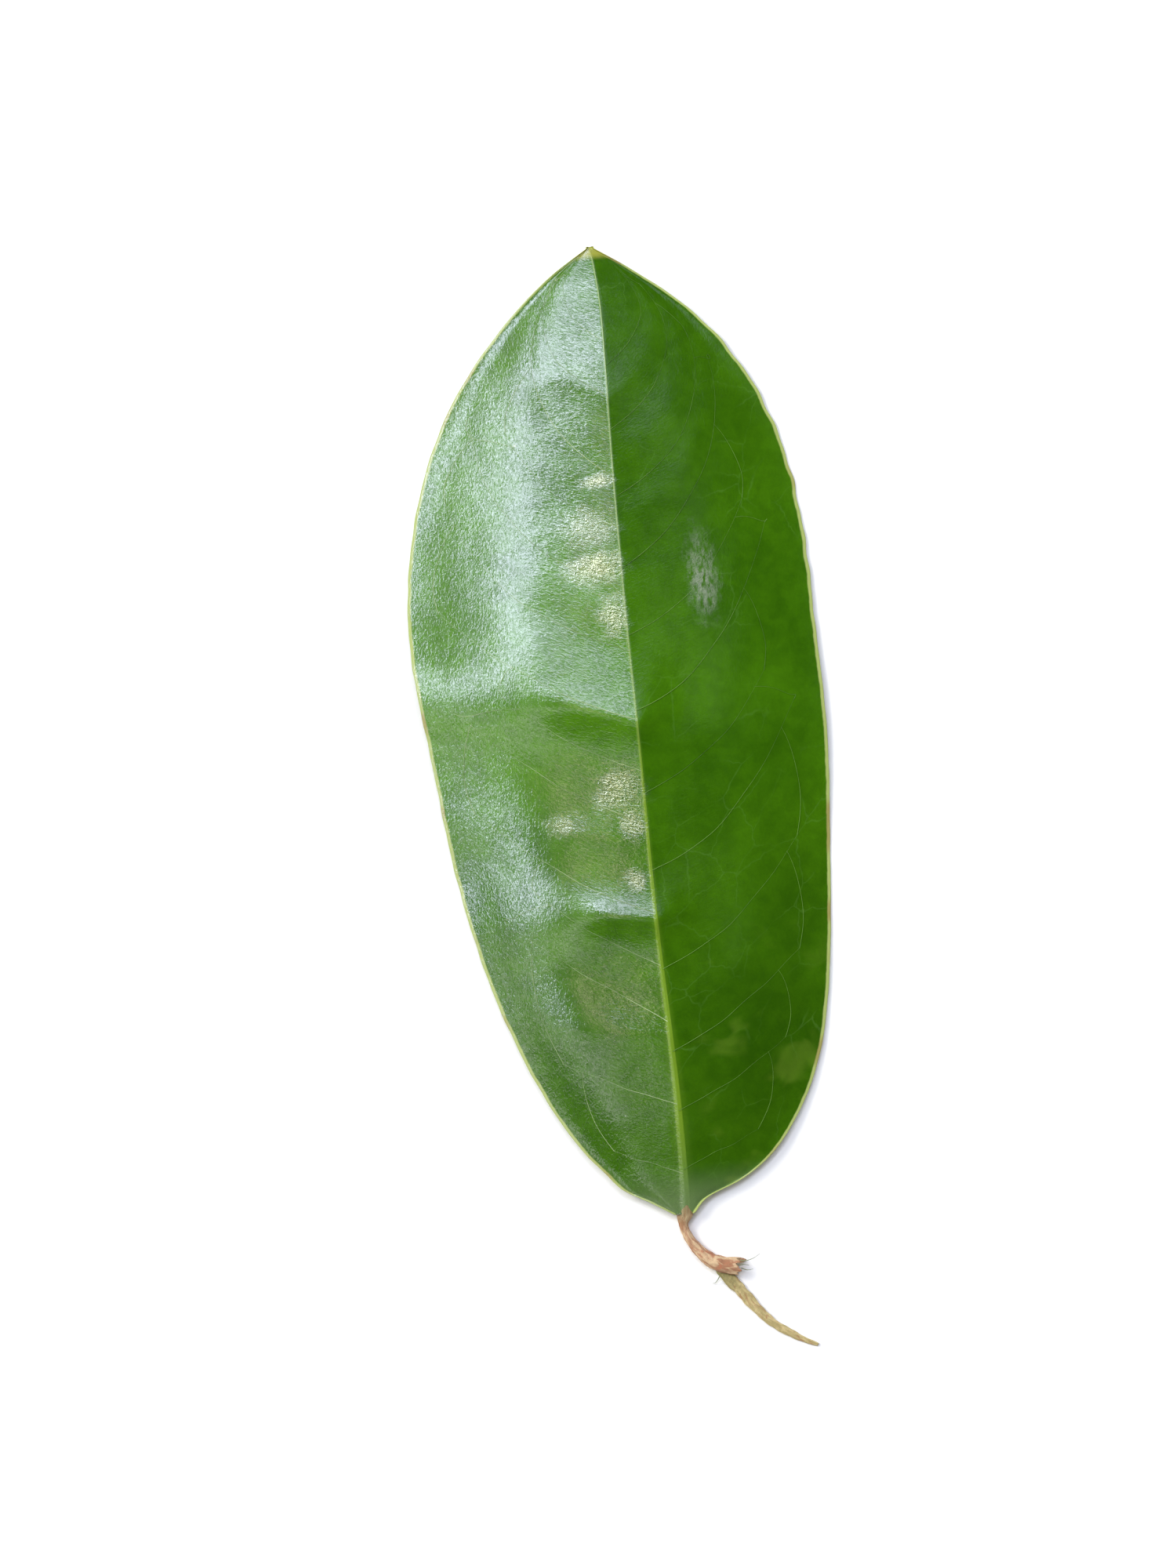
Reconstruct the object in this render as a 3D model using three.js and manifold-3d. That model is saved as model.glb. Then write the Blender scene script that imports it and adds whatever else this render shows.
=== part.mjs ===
// A soursop leaf, picked and lying face up on a flat surface.
//
// It is one solid, as it grew: the leathery blade with the midrib that stands out below it,
// the short stalk, and the strip of twig bark that tore away with the stalk.
//
// Millimetres, +Z up. The leaf is shaped in its own frame, with the foot of the blade, where
// the stalk begins, at the origin, the tip towards +Y, and the surface it lies on at z = 0.
// The group at the end moves it so that the middle of its bounding box is over the origin.

import * as THREE from 'three';
import { LoftGeometry } from 'three/addons/geometries/LoftGeometry.js';
import { mergeVertices } from 'three/addons/utils/BufferGeometryUtils.js';
import Module from 'manifold-3d';

// Driving dimensions.
const BLADE_LENGTH = 130;
const BLADE_WIDTH = 54;
const BLADE_THICKNESS = 0.38;
const MARGIN_THICKNESS = 0.3;
const TIP_REACH = 0.35;

// The outline: how far the margins reach to the left and right of the midrib, in per cent of
// the blade's width, at distances from the foot in per cent of its length.
const MARGIN_REACH = [
	// along, left, right
	[ 0, 2.1, 2.4 ],
	[ 1.5, 7.9, 6.1 ],
	[ 3, 14.1, 14.9 ],
	[ 5, 18.4, 22.1 ],
	[ 8, 24.2, 28.5 ],
	[ 12, 29.8, 34.2 ],
	[ 17, 35.3, 38.6 ],
	[ 25, 41.9, 42.1 ],
	[ 36, 47.6, 44.7 ],
	[ 48, 50.9, 46.7 ],
	[ 60, 53.6, 46.3 ],
	[ 68, 52.4, 45.9 ],
	[ 77, 47.0, 43.1 ],
	[ 85, 37.8, 36.2 ],
	[ 92, 24.4, 24.5 ],
	[ 97, 11.2, 10.5 ],
	[ 100, 0, 0 ],
];

// How the blade lies: heights of its mid surface along the midrib and the two margins. Each
// margin touches down twice, and the midrib is arched over the surface.
const REST_HEIGHT = [
	// along in per cent, midrib, left margin, right margin
	[ 0, 1.35, 1.25, 1.25 ],
	[ 5, 2.45, 1.15, 1.05 ],
	[ 12, 4.05, 0.55, 0.45 ],
	[ 25, 4.75, - 0.05, 0 ],
	[ 36, 5.15, - 0.05, - 0.15 ],
	[ 42, 5.35, 0.55, 0.15 ],
	[ 50, 5.55, 0.95, 0.45 ],
	[ 57, 5.55, 1.65, 0.35 ],
	[ 65, 5.45, 0.45, 0.15 ],
	[ 75, 4.95, - 0.05, - 0.15 ],
	[ 88, 4.15, 0.85, 0.45 ],
	[ 96, 2.15, 1.05, 0.65 ],
	[ 100, 0.75, 0.75, 0.75 ],
];

// Across, the blade falls from the midrib partly in a straight line, like a creased sheet, and
// partly in a curve, like a dome. It is creased more from the start of the fold to the tip.
const CREASE = 0.33; // the straight part of the fall; 1 would be all of it
const CREASE_AT_TIP = 0.8;
const FOLD_START = 77; // in per cent of the length
const FOLD_END = 91;
const DOME = 2; // the power of the curved part of the fall
const MARGIN_FLARE = 0.3; // how far the margins turn up again, in millimetres
const FLARE_FROM = 0.84; // and the share of the way outwards where they begin to

// Pleats: ridges that run out from the midrib along the side veins. A ridge is sharp at the
// midrib and rounder towards the margin, and falls away towards the tip and the foot.
const PLEATS = [
	// along in per cent, where it starts at the midrib; across is where it is highest, from -1
	// at the left margin to 1 at the right, and spread how far it reaches either way; the
	// height and the widths of its two slopes in mm; lean is how many millimetres it goes
	// towards the tip for each millimetre away from the midrib
	{ along: 18.5, across: - 0.5, spread: 0.5, height: 1.2, tipSide: 7, footSide: 15, lean: 0.2 },
	{ along: 30.5, across: - 0.22, spread: 0.45, height: 1.7, tipSide: 5.5, footSide: 5.5, lean: 0.24 },
	{ along: 38.4, across: - 0.3, spread: 0.35, height: 0.5, tipSide: 6, footSide: 4.5, lean: 0.26 },
	{ along: 50.5, across: - 0.25, spread: 0.5, height: 2.2, tipSide: 9.5, footSide: 7, lean: 0.45 },
	{ along: 29.5, across: - 0.8, spread: 0.3, height: 0.8, tipSide: 8, footSide: 9, lean: 0.24 },
	{ along: 50.5, across: - 0.8, spread: 0.3, height: 0.8, tipSide: 10, footSide: 9, lean: 0.42 },
	{ along: 84, across: - 0.5, spread: 0.6, height: 0.5, tipSide: 7, footSide: 4, lean: 0.66 },
	{ along: 22, across: 0.5, spread: 0.35, height: 0.3, tipSide: 8, footSide: 7, lean: 0.34 },
	{ along: 47, across: 0.5, spread: 0.35, height: 0.35, tipSide: 10, footSide: 8, lean: 0.34 },
	{ along: 72, across: 0.5, spread: 0.35, height: 0.25, tipSide: 9, footSide: 7, lean: 0.34 },
];
const PLEAT_ROOT = 0.34; // how far a pleat runs on past the midrib, in shares of a half
const PLEAT_BEND = 0.008; // how its lean lessens with the distance from the midrib
const PLEAT_FULL_WIDTH_AT = 0.65; // the share of the way outwards where it is at its widest
const TIP_SLOPE_AT_ROOT = 0.75; // the widths of its two slopes at the midrib, as shares of
const FOOT_SLOPE_AT_ROOT = 0.5; // their full widths
const CREST_RADIUS_AT_ROOT = 0.3;
const CREST_RADIUS = 6;

// The midrib below the blade: depth and half width, from the foot to the tip.
const MIDRIB_DEPTH_FOOT = 1.0;
const MIDRIB_DEPTH_TIP = 0.1;
const MIDRIB_HALF_WIDTH_FOOT = 0.9;
const MIDRIB_HALF_WIDTH_TIP = 0.35;

// The stalk and the strip of bark, from their roots to their ends, in millimetres. The stalk
// starts inside the midrib and ends in a torn stub. Where z is half the thickness, they lie
// on the surface.
const STALK = [
	{ x: 0.35, y: 4, z: 1.5, wide: 1.0, thick: 0.9 },
	{ x: 0.1, y: 1, z: 1.25, wide: 1.15, thick: 1.1 },
	{ x: - 0.2, y: - 1.5, z: 0.9, wide: 1.1, thick: 1.15 },
	{ x: 0.5, y: - 3.6, z: 0.8, wide: 1.3, thick: 1.3 },
	{ x: 2.1, y: - 5.8, z: 0.85, wide: 1.75, thick: 1.6 },
	{ x: 4.1, y: - 7.15, z: 1.0, wide: 2.15, thick: 1.95 },
	{ x: 6.5, y: - 7.7, z: 1.05, wide: 2.3, thick: 2.0 },
];
const BARK_STRIP = [
	{ x: 3.9, y: - 7.2, z: 0.6, wide: 1.6, thick: 1.1 },
	{ x: 5.1, y: - 9.2, z: 0.5, wide: 1.8, thick: 0.95 },
	{ x: 6.5, y: - 10.9, z: 0.4, wide: 1.6, thick: 0.8 },
	{ x: 8.1, y: - 13.1, z: 0.35, wide: 1.4, thick: 0.7 },
	{ x: 9.7, y: - 15.1, z: 0.3, wide: 1.25, thick: 0.6 },
	{ x: 11.5, y: - 16.6, z: 0.28, wide: 1.1, thick: 0.55 },
	{ x: 13.8, y: - 18.1, z: 0.25, wide: 0.9, thick: 0.5 },
	{ x: 16.2, y: - 19.3, z: 0.22, wide: 0.4, thick: 0.4 },
];

// Fineness of the faceted solid.
const BLADE_SECTIONS = 80;
const ACROSS_HALF = [ 0.02, 0.05, 0.12, 0.22, 0.34, 0.47, 0.6, 0.73, 0.86, 0.96, 1 ];
const SWEEP_SIDES = 10;
const STALK_SECTIONS = 14;
const STRIP_SECTIONS = 16;
const FINEST_DETAIL = 0.01; // slivers narrower than this are merged away, in millimetres

const LEAF_GREEN = 0x3d6b1a;

const UP = new THREE.Vector3( 0, 0, 1 );
const { lerp, smoothstep } = THREE.MathUtils;

/** A smooth function of the first column of a table, giving its other columns. */
function smoothTable( rows ) {

	const stations = rows.map( row => row[ 0 ] );
	const values = rows.flatMap( row => row.slice( 1 ) );
	const curve = new THREE.CubicInterpolant( stations, values, rows[ 0 ].length - 1 );

	return station => Array.from( curve.evaluate( station ) );

}

const reachAt = smoothTable( MARGIN_REACH );
const heightsAt = smoothTable( REST_HEIGHT );

/** How far the blade reaches from the midrib on one side, in millimetres. */
function reach( side, along ) {

	const [ left, right ] = reachAt( along );

	return Math.max( TIP_REACH, ( side < 0 ? left : right ) * BLADE_WIDTH / 100 );

}

/** Height that the pleats add, at a share of the way from the midrib to one margin. */
function pleatHeight( side, along, share ) {

	const distance = share * reach( side, along );
	const outward = smoothstep( share, 0, PLEAT_FULL_WIDTH_AT );
	const radius = lerp( CREST_RADIUS_AT_ROOT, CREST_RADIUS, outward ** 3 );
	let height = 0;

	for ( const pleat of PLEATS ) {

		const forward = pleat.lean * distance - PLEAT_BEND * distance ** 2;
		const pastCrest = ( along - pleat.along ) * BLADE_LENGTH / 100 - forward;
		const slopeWidth = pastCrest > 0
			? pleat.tipSide * lerp( TIP_SLOPE_AT_ROOT, 1, outward )
			: pleat.footSide * lerp( FOOT_SLOPE_AT_ROOT, 1, outward );
		const away = Math.hypot( pastCrest, radius ) - radius;
		const aside = ( side * share - pleat.across ) / pleat.spread;
		const pastMidrib = Math.max( 0, - side * share * Math.sign( pleat.across ) );
		const ownSide = 1 - smoothstep( pastMidrib, 0, PLEAT_ROOT );

		height += ownSide * pleat.height * Math.exp( - away / slopeWidth - aside ** 2 );

	}

	return height;

}

/** Height of the blade's mid surface, at a share of the way from the midrib to a margin. */
function midSurface( side, along, share ) {

	const [ midrib, left, right ] = heightsAt( along );
	const margin = side < 0 ? left : right;
	const crease = lerp( CREASE, CREASE_AT_TIP, smoothstep( along, FOLD_START, FOLD_END ) );
	const drop = crease * share + ( 1 - crease ) * share ** DOME;
	const flare = MARGIN_FLARE * Math.max( 0, ( share - FLARE_FROM ) / ( 1 - FLARE_FROM ) ) ** 2;

	return margin + ( midrib - margin ) * ( 1 - drop ) + flare + pleatHeight( side, along, share );

}

/** Depth of the midrib below the blade's underside, at a distance from its middle. */
function midribDepth( along, distance ) {

	const depth = lerp( MIDRIB_DEPTH_FOOT, MIDRIB_DEPTH_TIP, along / 100 );
	const halfWidth = lerp( MIDRIB_HALF_WIDTH_FOOT, MIDRIB_HALF_WIDTH_TIP, along / 100 );

	return depth * Math.exp( - ( ( distance / halfWidth ) ** 2 ) );

}

/** One closed section across the blade: its face from left to right, its underside back. */
function bladeSection( along ) {

	const across = [
		...ACROSS_HALF.toReversed().map( share => ( { side: - 1, share } ) ),
		{ side: 1, share: 0 },
		...ACROSS_HALF.map( share => ( { side: 1, share } ) ),
	];
	const face = [];
	const underside = [];

	for ( const { side, share } of across ) {

		const distance = share * reach( side, along );
		const x = side * distance;
		const y = along * BLADE_LENGTH / 100;
		const z = midSurface( side, along, share );
		const half = lerp( BLADE_THICKNESS, MARGIN_THICKNESS, share ** 4 ) / 2;

		face.push( new THREE.Vector3( x, y, z + half ) );
		underside.unshift( new THREE.Vector3( x, y, z - half - midribDepth( along, distance ) ) );

	}

	return [ ...face, ...underside ];

}

/** The blade, from the foot to the tip, with its sections closer together at both ends. */
function makeBlade() {

	const sections = [];

	for ( let i = 0; i <= BLADE_SECTIONS; i ++ ) {

		const even = i / BLADE_SECTIONS;
		const along = 100 * ( even - Math.sin( 2 * Math.PI * even ) / 12 );
		sections.push( bladeSection( along ) );

	}

	return new LoftGeometry( sections, { capStart: true, capEnd: true } );

}

/** A closed oval rod through a list of stations, each with its place, width and thickness. */
function makeRod( stations, sectionCount ) {

	const path = new THREE.CatmullRomCurve3( stations.map( s => new THREE.Vector3( s.x, s.y, s.z ) ) );
	const girth = smoothTable( stations.map( ( s, i ) => [ i, s.wide / 2, s.thick / 2 ] ) );
	const sections = [];

	for ( let i = 0; i <= sectionCount; i ++ ) {

		const t = i / sectionCount;
		const centre = path.getPoint( t );
		const sideways = new THREE.Vector3().crossVectors( path.getTangent( t ), UP ).normalize();
		const [ halfWide, halfThick ] = girth( t * ( stations.length - 1 ) );
		const ring = [];

		for ( let j = 0; j < SWEEP_SIDES; j ++ ) {

			const angle = ( j + 0.5 ) / SWEEP_SIDES * 2 * Math.PI;

			ring.push( centre.clone()
				.addScaledVector( sideways, - halfWide * Math.cos( angle ) )
				.addScaledVector( UP, halfThick * Math.sin( angle ) ) );

		}

		sections.push( ring );

	}

	return new LoftGeometry( sections, { capStart: true, capEnd: true } );

}

/** The geometry as a solid that can be joined to others. */
function toSolid( wasm, geometry ) {

	const shape = new THREE.BufferGeometry();
	shape.setAttribute( 'position', geometry.getAttribute( 'position' ) );
	shape.setIndex( geometry.index );
	const merged = mergeVertices( shape );

	return new wasm.Manifold( new wasm.Mesh( {
		numProp: 3,
		vertProperties: merged.getAttribute( 'position' ).array,
		triVerts: Uint32Array.from( merged.index.array ),
	} ) );

}

/** A solid back as a geometry. */
function toGeometry( solid ) {

	const { vertProperties, triVerts } = solid.getMesh();
	const geometry = new THREE.BufferGeometry();
	geometry.setAttribute( 'position', new THREE.BufferAttribute( vertProperties, 3 ) );
	geometry.setIndex( new THREE.BufferAttribute( triVerts, 1 ) );
	geometry.computeVertexNormals();

	return geometry;

}

const wasm = await Module();
wasm.setup();

const blade = toSolid( wasm, makeBlade() );
const stalk = toSolid( wasm, makeRod( STALK, STALK_SECTIONS ) );
const barkStrip = toSolid( wasm, makeRod( BARK_STRIP, STRIP_SECTIONS ) );

const leaf = new THREE.Mesh(
	toGeometry( blade.add( stalk ).add( barkStrip ).simplify( FINEST_DETAIL ) ),
	new THREE.MeshStandardMaterial( { color: LEAF_GREEN, roughness: 0.45, metalness: 0 } ),
);
leaf.name = 'leaf';

const bounds = new THREE.Box3().setFromObject( leaf );
const centre = bounds.getCenter( new THREE.Vector3() );

const group = new THREE.Group();
group.position.set( - centre.x, - centre.y, - bounds.min.z );
group.add( leaf );

export default group;
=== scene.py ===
"""A soursop leaf, picked and lying face up on a plain pale floor.

The blade, its veins, the stalk, the torn strip of bark and the fibres at the tear are shaped in
millimetres in the leaf's own frame: the foot of the blade, where the stalk begins, is the
origin, the tip lies towards +Y and the floor is at z = 0. LeafPlace sets them down in metres
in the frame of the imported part.
"""

from __future__ import annotations

import functools
import logging
import math
from collections.abc import Callable, Iterable, Sequence
from dataclasses import dataclass
from enum import Enum

import bpy
import numpy as np
from mathutils import Matrix, Vector

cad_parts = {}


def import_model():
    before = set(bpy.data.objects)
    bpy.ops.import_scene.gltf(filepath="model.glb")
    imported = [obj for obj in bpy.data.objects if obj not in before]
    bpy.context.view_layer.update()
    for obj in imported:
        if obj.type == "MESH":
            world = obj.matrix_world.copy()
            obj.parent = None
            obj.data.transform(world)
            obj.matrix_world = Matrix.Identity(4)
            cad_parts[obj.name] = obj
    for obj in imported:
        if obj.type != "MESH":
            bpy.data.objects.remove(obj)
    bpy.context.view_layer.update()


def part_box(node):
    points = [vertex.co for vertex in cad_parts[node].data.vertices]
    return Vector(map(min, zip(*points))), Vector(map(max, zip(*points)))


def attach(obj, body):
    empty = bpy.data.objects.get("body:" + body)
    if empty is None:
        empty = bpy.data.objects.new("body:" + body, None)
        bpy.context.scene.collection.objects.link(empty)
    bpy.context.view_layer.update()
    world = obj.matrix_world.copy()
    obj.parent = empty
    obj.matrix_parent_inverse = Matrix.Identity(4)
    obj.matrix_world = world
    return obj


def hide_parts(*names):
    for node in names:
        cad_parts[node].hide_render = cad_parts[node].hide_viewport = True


LOG = logging.getLogger("soursop_leaf")

MM = 0.001
BODY = "root"
CAD_NODE = "leaf"
BAKE_MAP = "OFBake"

Colour = tuple[float, float, float]
Table = tuple[tuple[float, ...], ...]
Value = float | tuple[float, ...] | bpy.types.NodeSocket


# ---------------------------------------------------------------------------
# Curves and waves that the shapes are made from
# ---------------------------------------------------------------------------


class SmoothTable:
    """A smooth curve through a short table of stations, with one or more values at each."""

    def __init__(self, rows: Sequence[Sequence[float]]) -> None:
        """Args:
            rows: One row for each station: its place, then its values.
        """
        table = np.array(rows, dtype=float)
        self.places, self.values = table[:, 0], table[:, 1:]
        before = np.r_[0, 0 : len(table) - 1]
        after = np.r_[1 : len(table), len(table) - 1]
        gap = (self.places[after] - self.places[before])[:, None]
        self.slopes = (self.values[after] - self.values[before]) / gap

    def at(self, place: np.ndarray | float) -> np.ndarray:
        """The values at any places between the first station and the last.

        Args:
            place: A number or an array of places along the table.

        Returns:
            An array with the places' shape and one more axis for the values.
        """
        place = np.clip(np.asarray(place, dtype=float), self.places[0], self.places[-1])
        k = np.clip(np.searchsorted(self.places, place) - 1, 0, len(self.places) - 2)
        gap = (self.places[k + 1] - self.places[k])[..., None]
        t = ((place - self.places[k])[..., None]) / gap
        start, end = self.values[k], self.values[k + 1]
        leaving, arriving = self.slopes[k] * gap, self.slopes[k + 1] * gap
        return (
            (2 * t**3 - 3 * t**2 + 1) * start
            + (t**3 - 2 * t**2 + t) * leaving
            + (3 * t**2 - 2 * t**3) * end
            + (t**3 - t**2) * arriving
        )


def eased(value: np.ndarray, low: float = 0.0, high: float = 1.0) -> np.ndarray:
    """A soft rise from 0 at low to 1 at high.

    Args:
        value: The numbers to judge.
        low: Where the rise begins.
        high: Where it ends.

    Returns:
        A share from 0 to 1 for each number.
    """
    share = np.clip((value - low) / (high - low), 0, 1)
    return share**2 * (3 - 2 * share)


class Ripple:
    """A gentle uneven wave over a plane: a sum of plane waves in random directions."""

    WAVES = 12

    def __init__(self, seed: int, shortest: float, longest: float, height: float) -> None:
        """Args:
            seed: Fixes the random directions, lengths and phases.
            shortest: The shortest wave, in millimetres.
            longest: The longest wave, in millimetres.
            height: How far a typical crest stands above the middle, in millimetres.
        """
        draw = np.random.default_rng(seed)
        heading = draw.uniform(0, 2 * math.pi, self.WAVES)
        number = 2 * math.pi / draw.uniform(shortest, longest, self.WAVES)
        self.across, self.along = number * np.cos(heading), number * np.sin(heading)
        self.phases = draw.uniform(0, 2 * math.pi, self.WAVES)
        self.height = height / math.sqrt(self.WAVES / 2)

    def at(self, x: np.ndarray, y: np.ndarray) -> np.ndarray:
        """The wave's height at each of the points, in millimetres."""
        angle = x[..., None] * self.across + y[..., None] * self.along + self.phases
        return self.height * np.sin(angle).sum(axis=-1)


# ---------------------------------------------------------------------------
# The blade's shape
# ---------------------------------------------------------------------------


class Side(Enum):
    """A half of the blade, seen from above with the tip away from the viewer."""

    LEFT = -1
    RIGHT = 1


class Face(Enum):
    """A face of the blade, and the way that it looks: up or down."""

    ABOVE = 1
    BELOW = -1


@dataclass(frozen=True)
class Pleat:
    """A rounded ridge that runs out from the midrib.

    along is where it starts, in per cent of the blade's length. across is its middle, from -1
    at the left margin to 1 at the right, and spread is how far it reaches to either side.
    height and the two slopes' lengths are in millimetres. lean is how fast it runs forward.
    """

    along: float
    across: float
    spread: float
    height: float
    tip_side: float
    foot_side: float
    lean: float = 0.34


@dataclass(frozen=True)
class SideVein:
    """A side vein, from where it leaves the midrib to where it fades near the margin.

    start is in millimetres from the foot. lean and arch say how fast it runs forward, at
    first and farther out, and ends is the share of the way to the margin. bold is 0 to 1.
    """

    start: float
    lean: float
    arch: float
    ends: float
    bold: float


@dataclass
class BladeShape:
    """Outline, lie and relief of the blade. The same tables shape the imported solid."""

    length: float = 130.0
    width: float = 54.0
    thickness: float = 0.38
    margin_thickness: float = 0.3
    tip_reach: float = 0.35
    reach_table: Table = (
        # along in per cent; reach to the left and to the right in per cent of the width
        (0, 2.1, 2.4),
        (1.5, 7.9, 6.1),
        (3, 14.1, 14.9),
        (5, 18.4, 22.1),
        (8, 24.2, 28.5),
        (12, 29.8, 34.2),
        (17, 35.3, 38.6),
        (25, 41.9, 42.1),
        (36, 47.6, 44.7),
        (48, 50.9, 46.7),
        (60, 53.6, 46.3),
        (68, 52.4, 45.9),
        (77, 47.0, 43.1),
        (85, 37.8, 36.2),
        (92, 24.4, 24.5),
        (97, 11.2, 10.5),
        (100, 0, 0),
    )
    rest_table: Table = (
        # along in per cent; heights of the midrib and of the left and right margins
        (0, 1.35, 1.25, 1.25),
        (5, 2.45, 1.15, 1.05),
        (12, 4.05, 0.55, 0.45),
        (25, 4.75, -0.05, 0),
        (36, 5.15, -0.05, -0.15),
        (42, 5.35, 0.55, 0.15),
        (50, 5.55, 0.95, 0.45),
        (57, 5.55, 1.65, 0.35),
        (65, 5.45, 0.45, 0.15),
        (75, 4.95, -0.05, -0.15),
        (88, 4.15, 0.85, 0.45),
        (96, 2.15, 1.05, 0.65),
        (100, 0.75, 0.75, 0.75),
    )
    # Across, the blade falls from the midrib partly in a straight line, like a creased sheet,
    # and partly in a curve. It is creased more towards the tip.
    crease: float = 0.33
    tip_crease: float = 0.8
    folds_between: tuple[float, float] = (100.0, 118.0)
    dome: float = 2.0
    flare: float = 0.3
    flare_from: float = 0.84
    pleats: tuple[Pleat, ...] = (
        Pleat(18.5, -0.5, 0.5, 1.2, 7, 15, 0.2),
        Pleat(30.5, -0.22, 0.45, 1.7, 5.5, 5.5, 0.24),
        Pleat(38.4, -0.3, 0.35, 0.5, 6, 4.5, 0.26),
        Pleat(50.5, -0.25, 0.5, 2.2, 9.5, 7, 0.45),
        Pleat(29.5, -0.8, 0.3, 0.8, 8, 9, 0.24),
        Pleat(50.5, -0.8, 0.3, 0.8, 10, 9, 0.42),
        Pleat(84, -0.5, 0.6, 0.5, 7, 4, 0.66),
        Pleat(22, 0.5, 0.35, 0.3, 8, 7),
        Pleat(47, 0.5, 0.35, 0.35, 10, 8),
        Pleat(72, 0.5, 0.35, 0.25, 9, 7),
    )
    # Pleats run on past the midrib by pleat_root, in shares of a half. There their slopes to
    # the tip and to the foot have pleat_narrow of their full widths.
    pleat_root: float = 0.34
    pleat_narrow: tuple[float, float] = (0.75, 0.5)
    crest_radius: tuple[float, float] = (0.3, 6.0)
    full_width_at: float = 0.65
    pleat_bend: float = 0.008
    midrib_line: Table = (
        # millimetres from the foot; how far the midrib wanders to the right
        (0, 0.0),
        (2, 0.3),
        (10, 0.5),
        (20, 0.48),
        (40, 0.0),
        (60, 0.05),
        (80, -0.05),
        (100, 0.1),
        (115, 0.5),
        (123, 0.55),
        (130, 0.0),
    )
    midrib_face: Table = (
        # millimetres from the foot; half width of the midrib seen from above; depth below
        (0, 0.85, 0.9),
        (5, 0.72, 1.0),
        (15, 0.6, 1.0),
        (25, 0.47, 0.95),
        (36, 0.37, 0.87),
        (47, 0.28, 0.78),
        (62, 0.19, 0.65),
        (85, 0.14, 0.45),
        (105, 0.12, 0.3),
        (130, 0.1, 0.12),
    )
    # Soft bulges between the side veins: heights near the midrib and far from it, and the
    # shares of the way outwards where they are full and where they have sunk.
    quilting: tuple[float, float] = (0.1, 0.03)
    quilted_from: float = 0.12
    quilted_to: float = 0.4
    # The margins waver: height in millimetres, waves in radians for each millimetre, phase.
    wavers: Table = ((0.09, 0.93, 0.0), (0.07, 1.57, 1.3))
    left_waver: float = 0.35
    least_waver: float = 0.15
    wavers_between: tuple[float, float] = (70.0, 90.0)
    waver_fades_over: tuple[float, float] = (10.0, 12.0)
    waver_power: int = 8
    lie_fades_over: float = 12.0
    # Side veins run forward ever faster, with a small wobble: height and waves to a half.
    vein_power: float = 2.6
    vein_wobbles: Table = ((0.35, 9.0), (0.2, 23.0))
    vein_ends_before_tip: float = 1.5
    left_veins: tuple[SideVein, ...] = (
        SideVein(5.5, 0.45, 0.3, 0.7, 0.4),
        SideVein(14.9, 0.45, 0.15, 0.75, 0.7),
        SideVein(26.0, 0.75, 0.2, 0.8, 1.0),
        SideVein(33.5, 0.6, 0.35, 0.6, 0.4),
        SideVein(40.6, 0.45, 0.4, 0.84, 0.8),
        SideVein(52.5, 0.47, 0.38, 0.84, 1.0),
        SideVein(59.5, 0.45, 0.5, 0.6, 0.4),
        SideVein(66.3, 0.4, 0.4, 0.86, 0.9),
        SideVein(75.5, 0.4, 0.6, 0.86, 0.7),
        SideVein(84.4, 0.35, 0.85, 0.85, 1.0),
        SideVein(92.0, 0.5, 0.8, 0.6, 0.5),
        SideVein(98.8, 0.75, 1.0, 0.85, 1.0),
        SideVein(109.6, 0.62, 0.5, 0.8, 0.7),
        SideVein(117.0, 0.7, 0.5, 0.7, 0.4),
    )
    right_veins: tuple[SideVein, ...] = (
        SideVein(6.0, 0.45, 0.2, 0.7, 0.5),
        SideVein(14.0, 0.42, 0.3, 0.75, 0.5),
        SideVein(22.0, 0.42, 0.4, 0.82, 0.8),
        SideVein(33.0, 0.4, 0.6, 0.82, 0.6),
        SideVein(46.2, 0.35, 0.9, 0.84, 0.8),
        SideVein(56.5, 0.4, 0.8, 0.7, 0.5),
        SideVein(67.5, 0.34, 1.2, 0.8, 1.0),
        SideVein(77.5, 0.4, 1.0, 0.7, 0.5),
        SideVein(86.5, 0.55, 1.2, 0.8, 0.9),
        SideVein(96.0, 0.5, 1.0, 0.75, 0.5),
        SideVein(105.0, 0.6, 0.9, 0.75, 0.5),
        SideVein(113.5, 0.7, 0.7, 0.7, 0.4),
    )

    def __post_init__(self) -> None:
        """Makes the curves and waves from the tables."""
        self.reaches = SmoothTable(self.reach_table)
        self.heights = SmoothTable(self.rest_table)
        self.midrib = SmoothTable(self.midrib_line)
        self.midrib_sizes = SmoothTable(self.midrib_face)
        self.lie = Ripple(seed=11, shortest=14, longest=34, height=0.05)
        self.skin = Ripple(seed=5, shortest=4, longest=9, height=0.008)
        self.side_veins = {Side.LEFT: self.left_veins, Side.RIGHT: self.right_veins}

    def reach(self, share: np.ndarray, y: np.ndarray) -> np.ndarray:
        """How far the margin on a point's side is from the blade's middle line.

        Args:
            share: Places across the blade, from -1 at the left margin to 1 at the right.
            y: Distances from the foot.

        Returns:
            The distances, in millimetres.
        """
        left_right = self.reaches.at(100 * y / self.length)
        reach = np.where(share < 0, left_right[..., 0], left_right[..., 1]) * self.width / 100
        return np.maximum(reach, self.tip_reach)

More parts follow.
